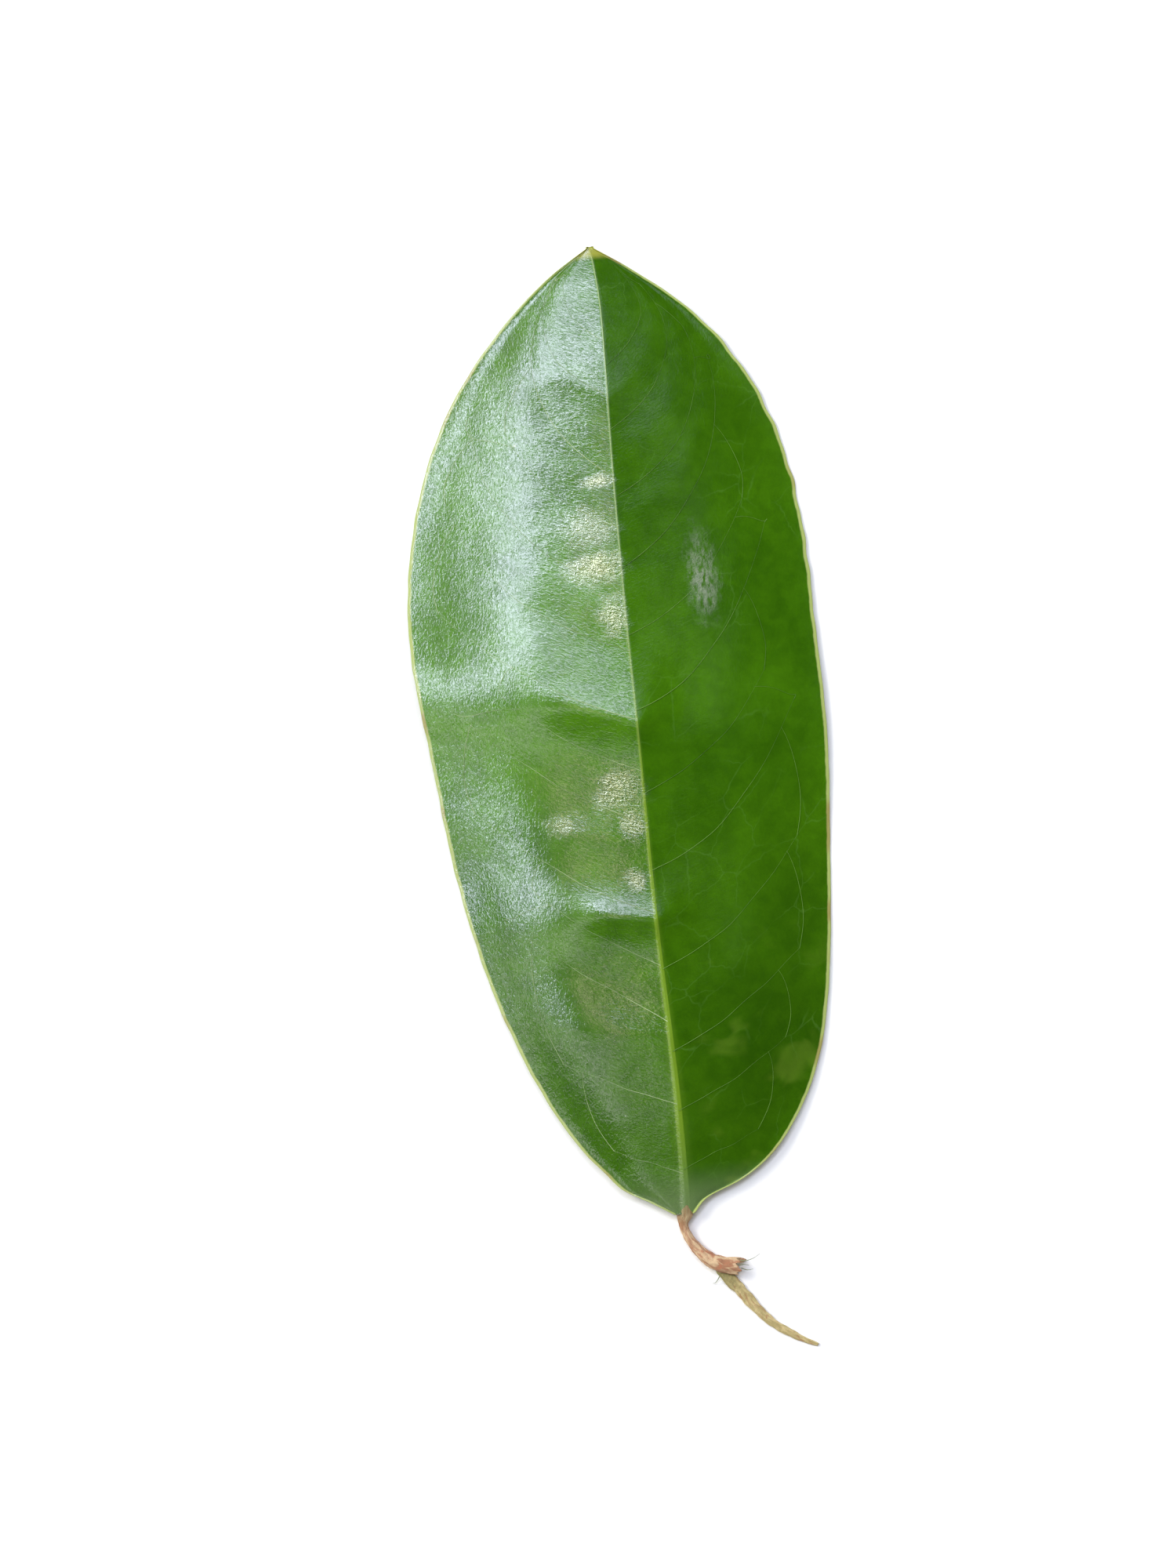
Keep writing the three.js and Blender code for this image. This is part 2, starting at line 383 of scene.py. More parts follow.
    def middle_x(self, share: np.ndarray, y: np.ndarray) -> np.ndarray:
        """x of the points at shares of the way across, with the margins' small waver.

        Args:
            share: Places across the blade, from -1 at the left margin to 1 at the right.
            y: Distances from the foot.

        Returns:
            The places, in millimetres to the right of the blade's middle line.
        """
        start, full = self.wavers_between
        wander = self.midrib.at(y)[..., 0] * (1 - np.abs(share))
        waver = sum(height * np.sin(y * number + phase) for height, number, phase in self.wavers)
        on_right = np.clip((y - start) / (full - start), self.least_waver, 1)
        waver *= np.where(share < 0, self.left_waver, on_right)
        from_foot, from_tip = self.waver_fades_over
        waver *= np.clip((self.length - y) / from_tip, 0, 1) * np.clip(y / from_foot, 0, 1)
        return wander + share * (self.reach(share, y) + waver * share**self.waver_power)

    def pleat_height(self, share: np.ndarray, y: np.ndarray) -> np.ndarray:
        """Height that the pleats add to the blade.

        Args:
            share: Places across the blade, from -1 to 1.
            y: Distances from the foot.

        Returns:
            The heights, in millimetres.
        """
        distance = np.abs(share) * self.reach(share, y)
        height = np.zeros(np.broadcast(share, y).shape)
        outward = eased(np.abs(share), 0, self.full_width_at)
        tip_narrow, foot_narrow = self.pleat_narrow
        sharp, blunt = self.crest_radius
        radius = sharp + (blunt - sharp) * outward**3
        for pleat in self.pleats:
            forward = pleat.lean * distance - self.pleat_bend * distance**2
            past_crest = y - pleat.along * self.length / 100 - forward
            tip_width = pleat.tip_side * (tip_narrow + (1 - tip_narrow) * outward)
            foot_width = pleat.foot_side * (foot_narrow + (1 - foot_narrow) * outward)
            slope_width = np.where(past_crest > 0, tip_width, foot_width)
            aside = (share - pleat.across) / pleat.spread
            away = np.hypot(past_crest, radius) - radius
            own_side = 1 - eased(-share * np.sign(pleat.across), 0, self.pleat_root)
            height += own_side * pleat.height * np.exp(-away / slope_width - aside**2)
        return height

    def mid_surface(self, share: np.ndarray, y: np.ndarray) -> np.ndarray:
        """Height of the middle of the blade's thickness.

        Args:
            share: Places across the blade, from -1 to 1.
            y: Distances from the foot.

        Returns:
            The heights, in millimetres.
        """
        midrib, left, right = np.moveaxis(self.heights.at(100 * y / self.length), -1, 0)
        margin = np.where(share < 0, left, right)
        outward = np.clip(np.abs(share), 0, 1)
        inner = (1 - outward**3) * np.clip(y / self.lie_fades_over, 0, 1)
        fold = eased(y, *self.folds_between)
        crease = self.crease + (self.tip_crease - self.crease) * fold
        drop = crease * outward + (1 - crease) * outward**self.dome
        lift = np.clip((outward - self.flare_from) / (1 - self.flare_from), 0, 1) ** 2
        x = self.middle_x(share, y)
        return (
            margin
            + (midrib - margin) * (1 - drop)
            + self.flare * lift
            + self.pleat_height(share, y)
            + (self.lie.at(x, y) + self.skin.at(x, y)) * inner
        )

    def half_thickness(self, share: np.ndarray) -> np.ndarray:
        """Half the blade's thickness, which thins towards the margins."""
        thin = np.abs(share) ** 4
        return (self.thickness * (1 - thin) + self.margin_thickness * thin) / 2

    def vein_y(self, side: Side, vein: SideVein, share: np.ndarray) -> np.ndarray:
        """Where a side vein's line runs.

        Args:
            side: The half of the blade.
            vein: The vein.
            share: Shares of the way outwards.

        Returns:
            The line's distances from the foot, in millimetres.
        """
        start = np.full_like(share, vein.start)
        reach = self.reach(np.full_like(share, float(side.value)), start)
        wobble = sum(
            height * np.sin(number * share + vein.start) for height, number in self.vein_wobbles
        )
        forward = reach * (vein.lean * share + vein.arch * share**self.vein_power)
        last = self.length - self.vein_ends_before_tip
        return np.minimum(vein.start + forward + wobble * share, last)

    def quilt(self, share: float, y: np.ndarray) -> np.ndarray:
        """Height of the soft bulges between the side veins, down one column of the blade.

        Args:
            share: The column's place across the blade, from -1 to 1.
            y: Distances from the foot.

        Returns:
            The heights, in millimetres.
        """
        side = Side.LEFT if share < 0 else Side.RIGHT
        outward = np.array([abs(share)])
        lines = [self.vein_y(side, vein, outward)[0] for vein in self.side_veins[side]]
        count = np.interp(y, np.maximum.accumulate(lines), np.arange(len(lines)))
        fade = min(1.0, abs(share) / self.quilted_from) * max(0.0, 1 - abs(share)) ** 0.5
        near, far = self.quilting
        height = far + (near - far) * math.exp(-((share / self.quilted_to) ** 2))
        return height * fade * (1 - np.cos(2 * math.pi * count)) / 2


@dataclass(frozen=True)
class LeafPlace:
    """Where the leaf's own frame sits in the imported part's frame, in metres."""

    foot_x: float
    foot_y: float
    floor_z: float

    @classmethod
    def from_box(cls, low: Vector, high: Vector, shape: BladeShape) -> LeafPlace:
        """The tip is at the box's far end, and the left margin's widest place at its left.

        Args:
            low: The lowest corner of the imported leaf.
            high: Its highest corner.
            shape: The blade's shape.

        Returns:
            The place of the leaf's own frame.
        """
        widest = shape.reaches.at(np.linspace(0, 100, 401))[:, 0].max() * shape.width / 100
        return cls(low.x + widest * MM, high.y - shape.length * MM, low.z)

    def to_row(self, points: np.ndarray) -> np.ndarray:
        """Points in millimetres in the leaf's frame, as metres in the part's frame."""
        return points * MM + np.array([self.foot_x, self.foot_y, self.floor_z])


# ---------------------------------------------------------------------------
# Meshes
# ---------------------------------------------------------------------------


def new_mesh(name: str, vertices: np.ndarray, faces: Iterable[Sequence[int]]) -> bpy.types.Object:
    """Makes a smooth-shaded mesh object at the origin.

    Args:
        name: The object's name.
        vertices: Its points, in metres in the part's frame.
        faces: The point numbers of each face.

    Returns:
        The object, linked to the scene.
    """
    mesh = bpy.data.meshes.new(name)
    mesh.from_pydata(vertices.tolist(), [], list(faces))
    mesh.polygons.foreach_set("use_smooth", [True] * len(mesh.polygons))
    made = bpy.data.objects.new(name, mesh)
    bpy.context.scene.collection.objects.link(made)
    return made


def add_numbers(made: bpy.types.Object, name: str, values: np.ndarray) -> None:
    """Stores a number, or a vector, for each point of a mesh, for its material to read.

    Args:
        made: The mesh object.
        name: The attribute's name.
        values: One number or one row of three for each point.
    """
    kind, key = ("FLOAT", "value") if values.ndim == 1 else ("FLOAT_VECTOR", "vector")
    layer = made.data.attributes.new(name, kind, "POINT")
    layer.data.foreach_set(key, values.astype(np.float32).ravel())


def ring_faces(sections: int, columns: int) -> np.ndarray:
    """Faces of a tube made of rings, each with its points in the same order.

    Args:
        sections: How many rings there are.
        columns: How many points each ring has.

    Returns:
        Rows of four point numbers, with the faces pointing outwards.
    """
    row = np.arange(sections - 1)[:, None] * columns
    here = np.arange(columns)[None, :]
    there = (here + 1) % columns
    quads = [row + here, row + there, row + columns + there, row + columns + here]
    return np.stack(quads, axis=-1).reshape(-1, 4)


def cap_faces(ring: Sequence[int], middle: int, at_end: bool) -> list[tuple[int, int, int]]:
    """A fan of triangles that closes one end of a tube.

    Args:
        ring: The point numbers of the ring at that end.
        middle: The number of the point in the middle.
        at_end: True at the tube's end, False at its start.

    Returns:
        The triangles' point numbers.
    """
    fans = []
    for here, there in zip(ring, np.roll(ring, -1)):
        fans.append((here, there, middle) if at_end else (there, here, middle))
    return [tuple(int(number) for number in fan) for fan in fans]


def with_end_middles(values: np.ndarray) -> np.ndarray:
    """Adds the middles of a tube's two end rings, where its caps meet.

    Args:
        values: A number or a row for each ring and column.

    Returns:
        The values in one list, then those of the first ring's middle and the last ring's.
    """
    flat = values.reshape(values.shape[0] * values.shape[1], *values.shape[2:])
    return np.concatenate([flat, [values[0].mean(axis=0), values[-1].mean(axis=0)]])


def finish_piece(made: bpy.types.Object) -> None:
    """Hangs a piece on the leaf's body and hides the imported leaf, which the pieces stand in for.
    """
    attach(made, BODY)
    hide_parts(CAD_NODE)
    LOG.info("%s: %d points", made.name, len(made.data.vertices))


# ---------------------------------------------------------------------------
# Node trees
# ---------------------------------------------------------------------------


class NodeDesk:
    """Adds nodes to one tree and joins them up."""

    # The Mix node's sockets share their names: the numbers of its two values and its result.
    MIXED_COLOURS = (6, 7, 2)
    MIXED_NUMBERS = (2, 3, 0)

    def __init__(self, tree: bpy.types.NodeTree) -> None:
        """Works on the given tree."""
        self.tree = tree

    def add(self, kind: str, **settings: object) -> bpy.types.Node:
        """Adds a node and sets its properties."""
        node = self.tree.nodes.new(kind)
        for name, setting in settings.items():
            setattr(node, name, setting)
        return node

    def feed(self, socket: bpy.types.NodeSocket, value: Value) -> None:
        """Joins a socket to another, or sets its own value.

        Args:
            socket: The input socket.
            value: An output socket, a number or a row of numbers.
        """
        if isinstance(value, bpy.types.NodeSocket):
            self.tree.links.new(value, socket)
        elif isinstance(value, tuple) and len(value) == 3 and socket.type == "RGBA":
            socket.default_value = (*value, 1.0)
        else:
            socket.default_value = value

    def fed(self, kind: str, values: dict[str | int, Value], **settings: object) -> bpy.types.Node:
        """Adds a node and feeds its inputs.

        Args:
            kind: The node's kind.
            values: What goes into each input, by its name or number.
            settings: The node's properties.

        Returns:
            The node.
        """
        node = self.add(kind, **settings)
        for key, value in values.items():
            self.feed(node.inputs[key], value)
        return node

    def calc(self, operation: str, *values: Value) -> bpy.types.NodeSocket:
        """A quotient, difference or other calculation on numbers."""
        node = self.fed("ShaderNodeMath", dict(enumerate(values)), operation=operation)
        return node.outputs[0]

    def product(self, *values: Value) -> bpy.types.NodeSocket:
        """The numbers multiplied together."""
        return functools.reduce(lambda total, value: self.calc("MULTIPLY", total, value), values)

    def total(self, *values: Value) -> bpy.types.NodeSocket:
        """The numbers added together."""
        return functools.reduce(lambda total, value: self.calc("ADD", total, value), values)

    def step(self, value: Value, low: float, high: float) -> bpy.types.NodeSocket:
        """A mask that rises softly from 0 at low to 1 at high, or falls if low is greater.

        Args:
            value: The number to judge.
            low: Where the mask is 0.
            high: Where it is 1.

        Returns:
            The mask.
        """
        falls = low > high
        values = {
            "Value": value,
            "From Min": min(low, high),
            "From Max": max(low, high),
            "To Min": 1.0 if falls else 0.0,
            "To Max": 0.0 if falls else 1.0,
        }
        node = self.fed("ShaderNodeMapRange", values, interpolation_type="SMOOTHSTEP")
        return node.outputs["Result"]

    def mix(self, share: Value, first: Value, second: Value) -> bpy.types.NodeSocket:
        """A colour between two, by a share from 0 to 1."""
        one, other, result = self.MIXED_COLOURS
        values = {"Factor": share, one: first, other: second}
        return self.fed("ShaderNodeMix", values, data_type="RGBA").outputs[result]

    def between(self, share: Value, first: Value, second: Value) -> bpy.types.NodeSocket:
        """A number between two, by a share from 0 to 1."""
        one, other, result = self.MIXED_NUMBERS
        values = {"Factor": share, one: first, other: second}
        return self.fed("ShaderNodeMix", values, data_type="FLOAT").outputs[result]

    def tint(self, colour: Value, by: Value) -> bpy.types.NodeSocket:
        """A colour made lighter or darker by a number."""
        values = {0: colour, "Scale": by}
        return self.fed("ShaderNodeVectorMath", values, operation="SCALE").outputs[0]

    def scaled(self, source: Value, scale: Value) -> bpy.types.NodeSocket:
        """A vector or colour with each of its three numbers multiplied."""
        values = {0: source, 1: scale}
        return self.fed("ShaderNodeVectorMath", values, operation="MULTIPLY").outputs[0]

    def place(self) -> bpy.types.NodeSocket:
        """Places on the piece, in millimetres."""
        metres = self.add("ShaderNodeTexCoord").outputs["Object"]
        return self.scaled(metres, (1 / MM, 1 / MM, 1 / MM))

    def vector(self, x: Value, y: Value, z: Value = 0.0) -> bpy.types.NodeSocket:
        """A vector from three numbers."""
        return self.fed("ShaderNodeCombineXYZ", {0: x, 1: y, 2: z}).outputs[0]

    def noise(
        self, place: Value, scale: Value, detail: float = 2.0, distortion: float = 0.0
    ) -> bpy.types.NodeSocket:
        """Cloudy noise from 0 to 1.

        Args:
            place: Where on the piece, in millimetres.
            scale: How many lumps there are to a millimetre.
            detail: How many times finer lumps are added.
            distortion: How far the lumps are pulled out of shape.

        Returns:
            The noise.
        """
        values = {"Vector": place, "Scale": scale, "Detail": detail, "Distortion": distortion}
        return self.fed("ShaderNodeTexNoise", values).outputs["Fac"]

    def cells(self, place: Value, scale: Value, feature: str) -> bpy.types.Node:
        """A pattern of cells, with so many to a millimetre."""
        values = {"Vector": place, "Scale": scale}
        return self.fed("ShaderNodeTexVoronoi", values, feature=feature)

    def stored(self, name: str, output: str = "Fac") -> bpy.types.NodeSocket:
        """A number or vector stored on the mesh."""
        return self.add("ShaderNodeAttribute", attribute_name=name).outputs[output]

    def group(self, tree: bpy.types.NodeTree, **values: Value) -> bpy.types.Node:
        """Places a node group and feeds its inputs."""
        return self.fed("ShaderNodeGroup", values, node_tree=tree)

    def bump(self, height: Value, distance: float) -> bpy.types.NodeSocket:
        """A normal bent by a height, whose full step is distance, in millimetres."""
        values = {"Height": height, "Distance": distance * MM, "Strength": 1.0}
        return self.fed("ShaderNodeBump", values).outputs["Normal"]


def new_group(name: str, kind: str, sockets: dict[str, dict[str, str]]) -> bpy.types.NodeTree:
    """Makes an empty node group with named inputs and outputs.

    Args:
        name: The group's name.
        kind: The kind of tree, such as ShaderNodeTree.
        sockets: For INPUT and for OUTPUT, the kind of socket by name.

    Returns:
        The node group.
    """
    tree = bpy.data.node_groups.new(name, kind)
    for direction, named in sockets.items():
        for label, socket_kind in named.items():
            tree.interface.new_socket(name=label, in_out=direction, socket_type=socket_kind)
    return tree


FLOAT, INTEGER, VECTOR = "NodeSocketFloat", "NodeSocketInt", "NodeSocketVector"
COLOUR, GEOMETRY = "NodeSocketColor", "NodeSocketGeometry"
MATERIAL, OBJECT = "NodeSocketMaterial", "NodeSocketObject"

OpenGroup = tuple[bpy.types.NodeTree, NodeDesk, bpy.types.NodeOutputs, bpy.types.NodeInputs]


class SharedEffects:
    """The effects that more than one finish uses, each built once as a node group."""

    def __init__(self) -> None:
        """Builds the groups."""
        self.mottle = self.make_mottle()
        self.wrinkle = self.make_wrinkle()
        self.net = self.make_net()
        self.specks = self.make_specks()
        self.grain = self.make_grain()

    @staticmethod
    def begin(name: str, inputs: dict[str, str], outputs: dict[str, str]) -> OpenGroup:
        """Starts a shader group.

        Args:
            name: The group's name.
            inputs: The kind of each input, by name.
            outputs: The kind of each output, by name.

        Returns:
            The tree, its desk, the inputs that it is given and the sockets of its results.
        """
        tree = new_group(name, "ShaderNodeTree", {"INPUT": inputs, "OUTPUT": outputs})
        desk = NodeDesk(tree)
        given = desk.add("NodeGroupInput").outputs
        return tree, desk, given, desk.add("NodeGroupOutput").inputs

    def make_mottle(self) -> bpy.types.NodeTree:
        """Cloudy greens: broad patches, small blotches and fine grain between two colours."""
        tree, desk, given, result = self.begin(
            "mottled_green",
            {"Place": VECTOR, "Deep": COLOUR, "Light": COLOUR},
            {"Colour": COLOUR},
        )
        broad = desk.noise(given["Place"], 0.055, 3.0, 0.4)
        small = desk.noise(given["Place"], 0.42, 4.0, 0.3)
        fine = desk.noise(given["Place"], 3.2, 2.0)
        patches = desk.product(desk.step(broad, 0.32, 0.68), 0.6)
        blotches = desk.product(desk.step(small, 0.3, 0.7), 0.4)
        colour = desk.mix(desk.total(patches, blotches), given["Deep"], given["Light"])
        colour = desk.tint(colour, desk.between(fine, 0.86, 1.14))
        desk.feed(result["Colour"], colour)
        return tree

    def make_wrinkle(self) -> bpy.types.NodeTree:
        """Height of a leathery skin: short fine strokes over a gently hammered ground."""
        tree, desk, given, result = self.begin(
            "leathery_wrinkle",
            {"Place": VECTOR, "Strokes": VECTOR, "Depth": FLOAT},
            {"Height": FLOAT, "Sheen": FLOAT},
        )
        strokes = desk.noise(given["Strokes"], 1.0, 2.0, 0.7)
        finer = desk.noise(given["Strokes"], 2.3, 1.0, 0.5)
        hammered = desk.noise(given["Place"], 0.55, 1.0)
        height = desk.total(strokes, desk.product(finer, 0.35))
        height = desk.product(desk.calc("SUBTRACT", height, 0.675), given["Depth"])
        desk.feed(result["Height"], desk.total(height, desk.product(hammered, 0.6)))
        worn = desk.total(desk.product(strokes, 0.5), desk.product(finer, 0.5))
        desk.feed(result["Sheen"], desk.step(worn, 0.38, 0.6))
        return tree

    def make_net(self) -> bpy.types.NodeTree:
        """A net of fine veins, as a mask that is 1 on its lines."""
        tree, desk, given, result = self.begin(
            "vein_net",
            {"Place": VECTOR, "Meshes": FLOAT, "Line": FLOAT},
            {"Mask": FLOAT},
        )
        jitter = desk.fed("ShaderNodeTexNoise", {"Vector": given["Place"], "Scale": 0.6})
        values = {0: jitter.outputs["Color"], 1: (1.4, 1.4, 0.0), 2: given["Place"]}
        bent = desk.fed("ShaderNodeVectorMath", values, operation="MULTIPLY_ADD").outputs[0]
        edge = desk.cells(bent, given["Meshes"], "DISTANCE_TO_EDGE")
        near = desk.calc("DIVIDE", edge.outputs["Distance"], given["Line"])
        desk.feed(result["Mask"], desk.step(near, 1.0, 0.25))
        return tree

    def make_specks(self) -> bpy.types.NodeTree:
        """Scattered specks, as a mask that is 1 on them."""
        tree, desk, given, result = self.begin(
            "scattered_specks",
            {"Place": VECTOR, "Close": FLOAT, "Size": FLOAT, "Share": FLOAT},
            {"Mask": FLOAT},
        )
        cell = desk.cells(given["Place"], given["Close"], "F1")
        chosen = desk.fed("ShaderNodeSeparateColor", {0: cell.outputs["Color"]})
        picked = desk.calc("LESS_THAN", chosen.outputs[0], given["Share"])
        size = desk.product(given["Size"], desk.between(chosen.outputs[1], 0.4, 1.0))
        near = desk.calc("DIVIDE", cell.outputs["Distance"], size)
        desk.feed(result["Mask"], desk.product(desk.step(near, 1.0, 0.7), picked))
        return tree

    def make_grain(self) -> bpy.types.NodeTree:
        """Bark grain: streaks and flecks along the z of the place, and their height."""
        tree, desk, given, result = self.begin(
            "bark_grain",
            {"Place": VECTOR, "Close": FLOAT},
            {"Streak": FLOAT, "Fleck": FLOAT, "Height": FLOAT},
        )
        long_place = desk.scaled(given["Place"], (1.0, 1.0, 0.28))
        streak = desk.noise(long_place, given["Close"], 3.0, 0.6)
        fleck_place = desk.scaled(given["Place"], (1.0, 1.0, 0.45))
        fleck = desk.noise(fleck_place, desk.product(given["Close"], 0.8), 2.0, 1.2)
        desk.feed(result["Streak"], desk.step(streak, 0.38, 0.62))
        desk.feed(result["Fleck"], desk.step(fleck, 0.5, 0.66))
        fine = desk.noise(given["Place"], 6.0, 3.0)
        desk.feed(result["Height"], desk.total(streak, desk.product(fine, 0.4)))
        return tree


def new_material(name: str) -> tuple[bpy.types.Material, NodeDesk, bpy.types.Node]:
    """Makes a material with a Principled shader.

    Args:
        name: The material's name.

    Returns:
        The material, the desk for its nodes and its Principled node.
    """
    material = bpy.data.materials.new(name)
    material.use_nodes = True
    desk = NodeDesk(material.node_tree)
    return material, desk, material.node_tree.nodes["Principled BSDF"]


# ---------------------------------------------------------------------------
# Finishes
# ---------------------------------------------------------------------------


@dataclass(frozen=True)
class Pucker:
    """A spot of crumpled, shiny skin.

    aside and along are its middle, in millimetres to the right of the midrib and from the
    foot. across and lengthways are its half sizes, and strength is 0 to 1.
    """

    aside: float
    along: float
    across: float
    lengthways: float
    strength: float


class BladeDesk(NodeDesk):
    """The desk of the blade's material, with what the material reads from the mesh.

    spot is a point's place in the part's frame and flow runs along the side veins. aside is
    to the right of the midrib, whose half width is half_width, inset is in from the margin
    and along is from the foot, all in millimetres. share goes from -1 at the left margin to
    1 at the right, and below is 1 on the underside.
    """

    def __init__(self, tree: bpy.types.NodeTree, effects: SharedEffects) -> None:
        """Works on the given tree, with the shared node groups."""
        super().__init__(tree)
        self.effects = effects
        self.spot = self.place()
        self.flow = self.stored("vein_flow", "Vector")
        self.aside = self.stored("midrib_offset")
        self.half_width = self.stored("midrib_half_width")
        self.inset = self.stored("margin_inset")
        self.along = self.stored("along")
        self.share = self.stored("share")
        self.below = self.stored("below")


@dataclass(frozen=True)
class LeafSkin:
    """The blade's skin: glossy deep green above, dull pale green below.

    The left half catches more light and shows its gloss, and its green is also painted
    lighter, as painted light. The right half lies away from it, so right_gloss cuts its gloss
    down. The two figures of gloss are for the hollows and the worn crests of the wrinkles.
    """

    deep: Colour = (0.025, 0.092, 0.001)
    light: Colour = (0.048, 0.152, 0.002)
    # Painted light: the left half's green is multiplied by this to look lighter, as if lit more
    # than the right.
    left_painted_light: Colour = (1.6, 1.46, 1.4)
    yellowed: Colour = (0.14, 0.24, 0.02)
    net_pale: Colour = (0.16, 0.33, 0.07)
    midrib_foot: Colour = (0.12, 0.23, 0.04)
    midrib_middle: Colour = (0.18, 0.31, 0.02)
    midrib_tip: Colour = (0.28, 0.40, 0.15)
    margin: Colour = (0.38, 0.46, 0.13)
    margin_brown: Colour = (0.30, 0.19, 0.06)
    foot_grey: Colour = (0.17, 0.24, 0.10)
    tip_patch: Colour = (0.40, 0.40, 0.06)
    below_deep: Colour = (0.10, 0.19, 0.05)
    below_light: Colour = (0.17, 0.29, 0.085)
    below_vein: Colour = (0.33, 0.38, 0.14)
    dust: Colour = (0.62, 0.68, 0.55)
    net_meshes: float = 0.36
    roughness: float = 0.15
    uneven_roughness: float = 0.04
    dust_roughness: float = 0.4
    below_roughness: float = 0.55
    gloss: tuple[float, float] = (0.36, 0.94)
    right_gloss: float = 0.13
    below_gloss: float = 0.2
    ior: float = 1.8
    relief: float = 0.035
    puckers: tuple[Pucker, ...] = (
        Pucker(-2.1, 98.4, 2.2, 1.1, 0.9),
        Pucker(-3.8, 92.0, 4.0, 3.6, 0.5),
        Pucker(-3.3, 86.8, 4.2, 2.6, 1.0),
        Pucker(-1.8, 80.3, 2.2, 3.2, 0.9),
        Pucker(-3.3, 57.3, 3.9, 3.6, 1.0),
        Pucker(-1.8, 53.0, 1.9, 3.0, 0.9),
        Pucker(-11.0, 53.3, 3.0, 1.8, 0.6),
        Pucker(-2.1, 45.2, 1.8, 1.7, 0.9),
    )
    pucker_depth: float = 2.8
    pucker_gloss: float = 2.1
    # Painted reflection colour: the puckers' glints are tinted warm, standing in for a warm light.
    painted_warm_glint_tint: Colour = (1.0, 0.98, 0.66)
    rubbed: Pucker = Pucker(10.7, 84.5, 2.2, 6.0, 1.0)
    rubbed_streaks: tuple[float, float, float] = (2.4, 0.9, 1.0)
    rubbed_gloss: float = 2.0

    def make(self, effects: SharedEffects, shape: BladeShape) -> bpy.types.Material:
        """Builds the material. The mesh stores where each point is on the leaf.

        Args:
            effects: The shared node groups.
            shape: The blade's shape.

        Returns:
            The material.
        """
        material, plain_desk, shader = new_material("leaf_skin")
        desk = BladeDesk(plain_desk.tree, effects)
        dust = desk.group(
            desk.effects.specks, Place=desk.spot, Close=0.16, Size=0.032, Share=0.3
        ).outputs[0]
        dust = desk.product(dust, desk.calc("SUBTRACT", 1.0, desk.below))
        spots = self.puckered(desk, self.puckers)
        normal, sheen = self.skin_relief(desk, spots)

        face = self.face_colour(desk)
        colour = desk.mix(desk.below, face, self.underside_colour(desk))
        colour = self.midrib_colour(desk, colour)
        colour = self.edge_colour(desk, colour, shape.length)
        desk.feed(shader.inputs["Base Color"], desk.mix(dust, colour, self.dust))
        desk.feed(shader.inputs["Roughness"], self.surface_roughness(desk, dust))
        shader.inputs["IOR"].default_value = self.ior
        # Painted reflection colour: the puckers' reflections are tinted warm, in place of a warm
        # light.
        tint = desk.mix(spots, (1.0, 1.0, 1.0), self.painted_warm_glint_tint)
        desk.feed(shader.inputs["Specular Tint"], tint)
        lit_left_veins = self.surface_gloss(desk, sheen, spots)
        desk.feed(shader.inputs["Specular IOR Level"], lit_left_veins)
        desk.feed(shader.inputs["Normal"], normal)
        return material

    def face_colour(self, desk: BladeDesk) -> bpy.types.NodeSocket:
        """Greens of the upper face, with the net of fine veins and a few yellowed patches.

        Args:
            desk: The material's desk.

        Returns:
            The colour.
        """
        green = desk.group(desk.effects.mottle, Place=desk.spot, Deep=self.deep, Light=self.light)
        # Painted light: the left half is made lighter, as if lit more than the right.
        on_left = desk.step(desk.aside, 0.05, -0.05)
        tint = desk.mix(on_left, (1.0, 1.0, 1.0), self.left_painted_light)
        # Darker towards the foot and towards the tip.
        foot_shade = desk.between(desk.step(desk.along, 15.0, 75.0), 0.8, 1.12)
        tip_shade = desk.between(desk.step(desk.along, 80.0, 122.0), 1.0, 0.86)
        colour = desk.scaled(green.outputs[0], tint)
        colour = desk.tint(colour, desk.product(foot_shade, tip_shade))
        near_foot = desk.step(desk.along, 46.0, 6.0)
        patches = desk.step(desk.noise(desk.spot, 0.17, 2.0, 0.6), 0.56, 0.74)
        on_right = desk.step(desk.aside, 2.0, 7.0)
        yellow = desk.product(near_foot, patches, on_right, 0.45)
        colour = desk.mix(yellow, colour, self.yellowed)
        net = desk.group(desk.effects.net, Place=desk.flow, Meshes=0.17, Line=0.018).outputs[0]
        seen = desk.step(desk.noise(desk.spot, 0.12, 2.0), 0.46, 0.62)
        return desk.mix(desk.product(net, seen, 0.12), colour, self.net_pale)

    def underside_colour(self, desk: BladeDesk) -> bpy.types.NodeSocket:
        """Dull pale green with a paler net of veins.

        Args:
            desk: The material's desk.

        Returns:
            The colour.
        """
        green = desk.group(
            desk.effects.mottle, Place=desk.spot, Deep=self.below_deep, Light=self.below_light
        )
        net = desk.group(desk.effects.net, Place=desk.spot, Meshes=self.net_meshes, Line=0.045)
        return desk.mix(desk.product(net.outputs[0], 0.5), green.outputs[0], self.below_vein)

    def midrib_colour(self, desk: BladeDesk, colour: Value) -> bpy.types.NodeSocket:
        """The midrib: grey-green at the foot, then yellow-green, then a fine pale line.

        Args:
            desk: The material's desk.
            colour: The blade's colour without it.

        Returns:
            The colour.
        """
        rib = desk.mix(desk.step(desk.along, 1.0, 14.0), self.midrib_foot, self.midrib_middle)
        rib = desk.mix(desk.step(desk.along, 55.0, 90.0), rib, self.midrib_tip)
        rib = desk.mix(desk.below, rib, self.below_vein)
        reach = desk.calc("DIVIDE", desk.calc("ABSOLUTE", desk.aside), desk.half_width)
        on_rib = desk.product(desk.step(reach, 1.05, 0.55), 0.92)
        halo = desk.product(desk.step(reach, 2.4, 0.9), 0.15)
        return desk.mix(desk.calc("MAXIMUM", on_rib, halo), colour, rib)

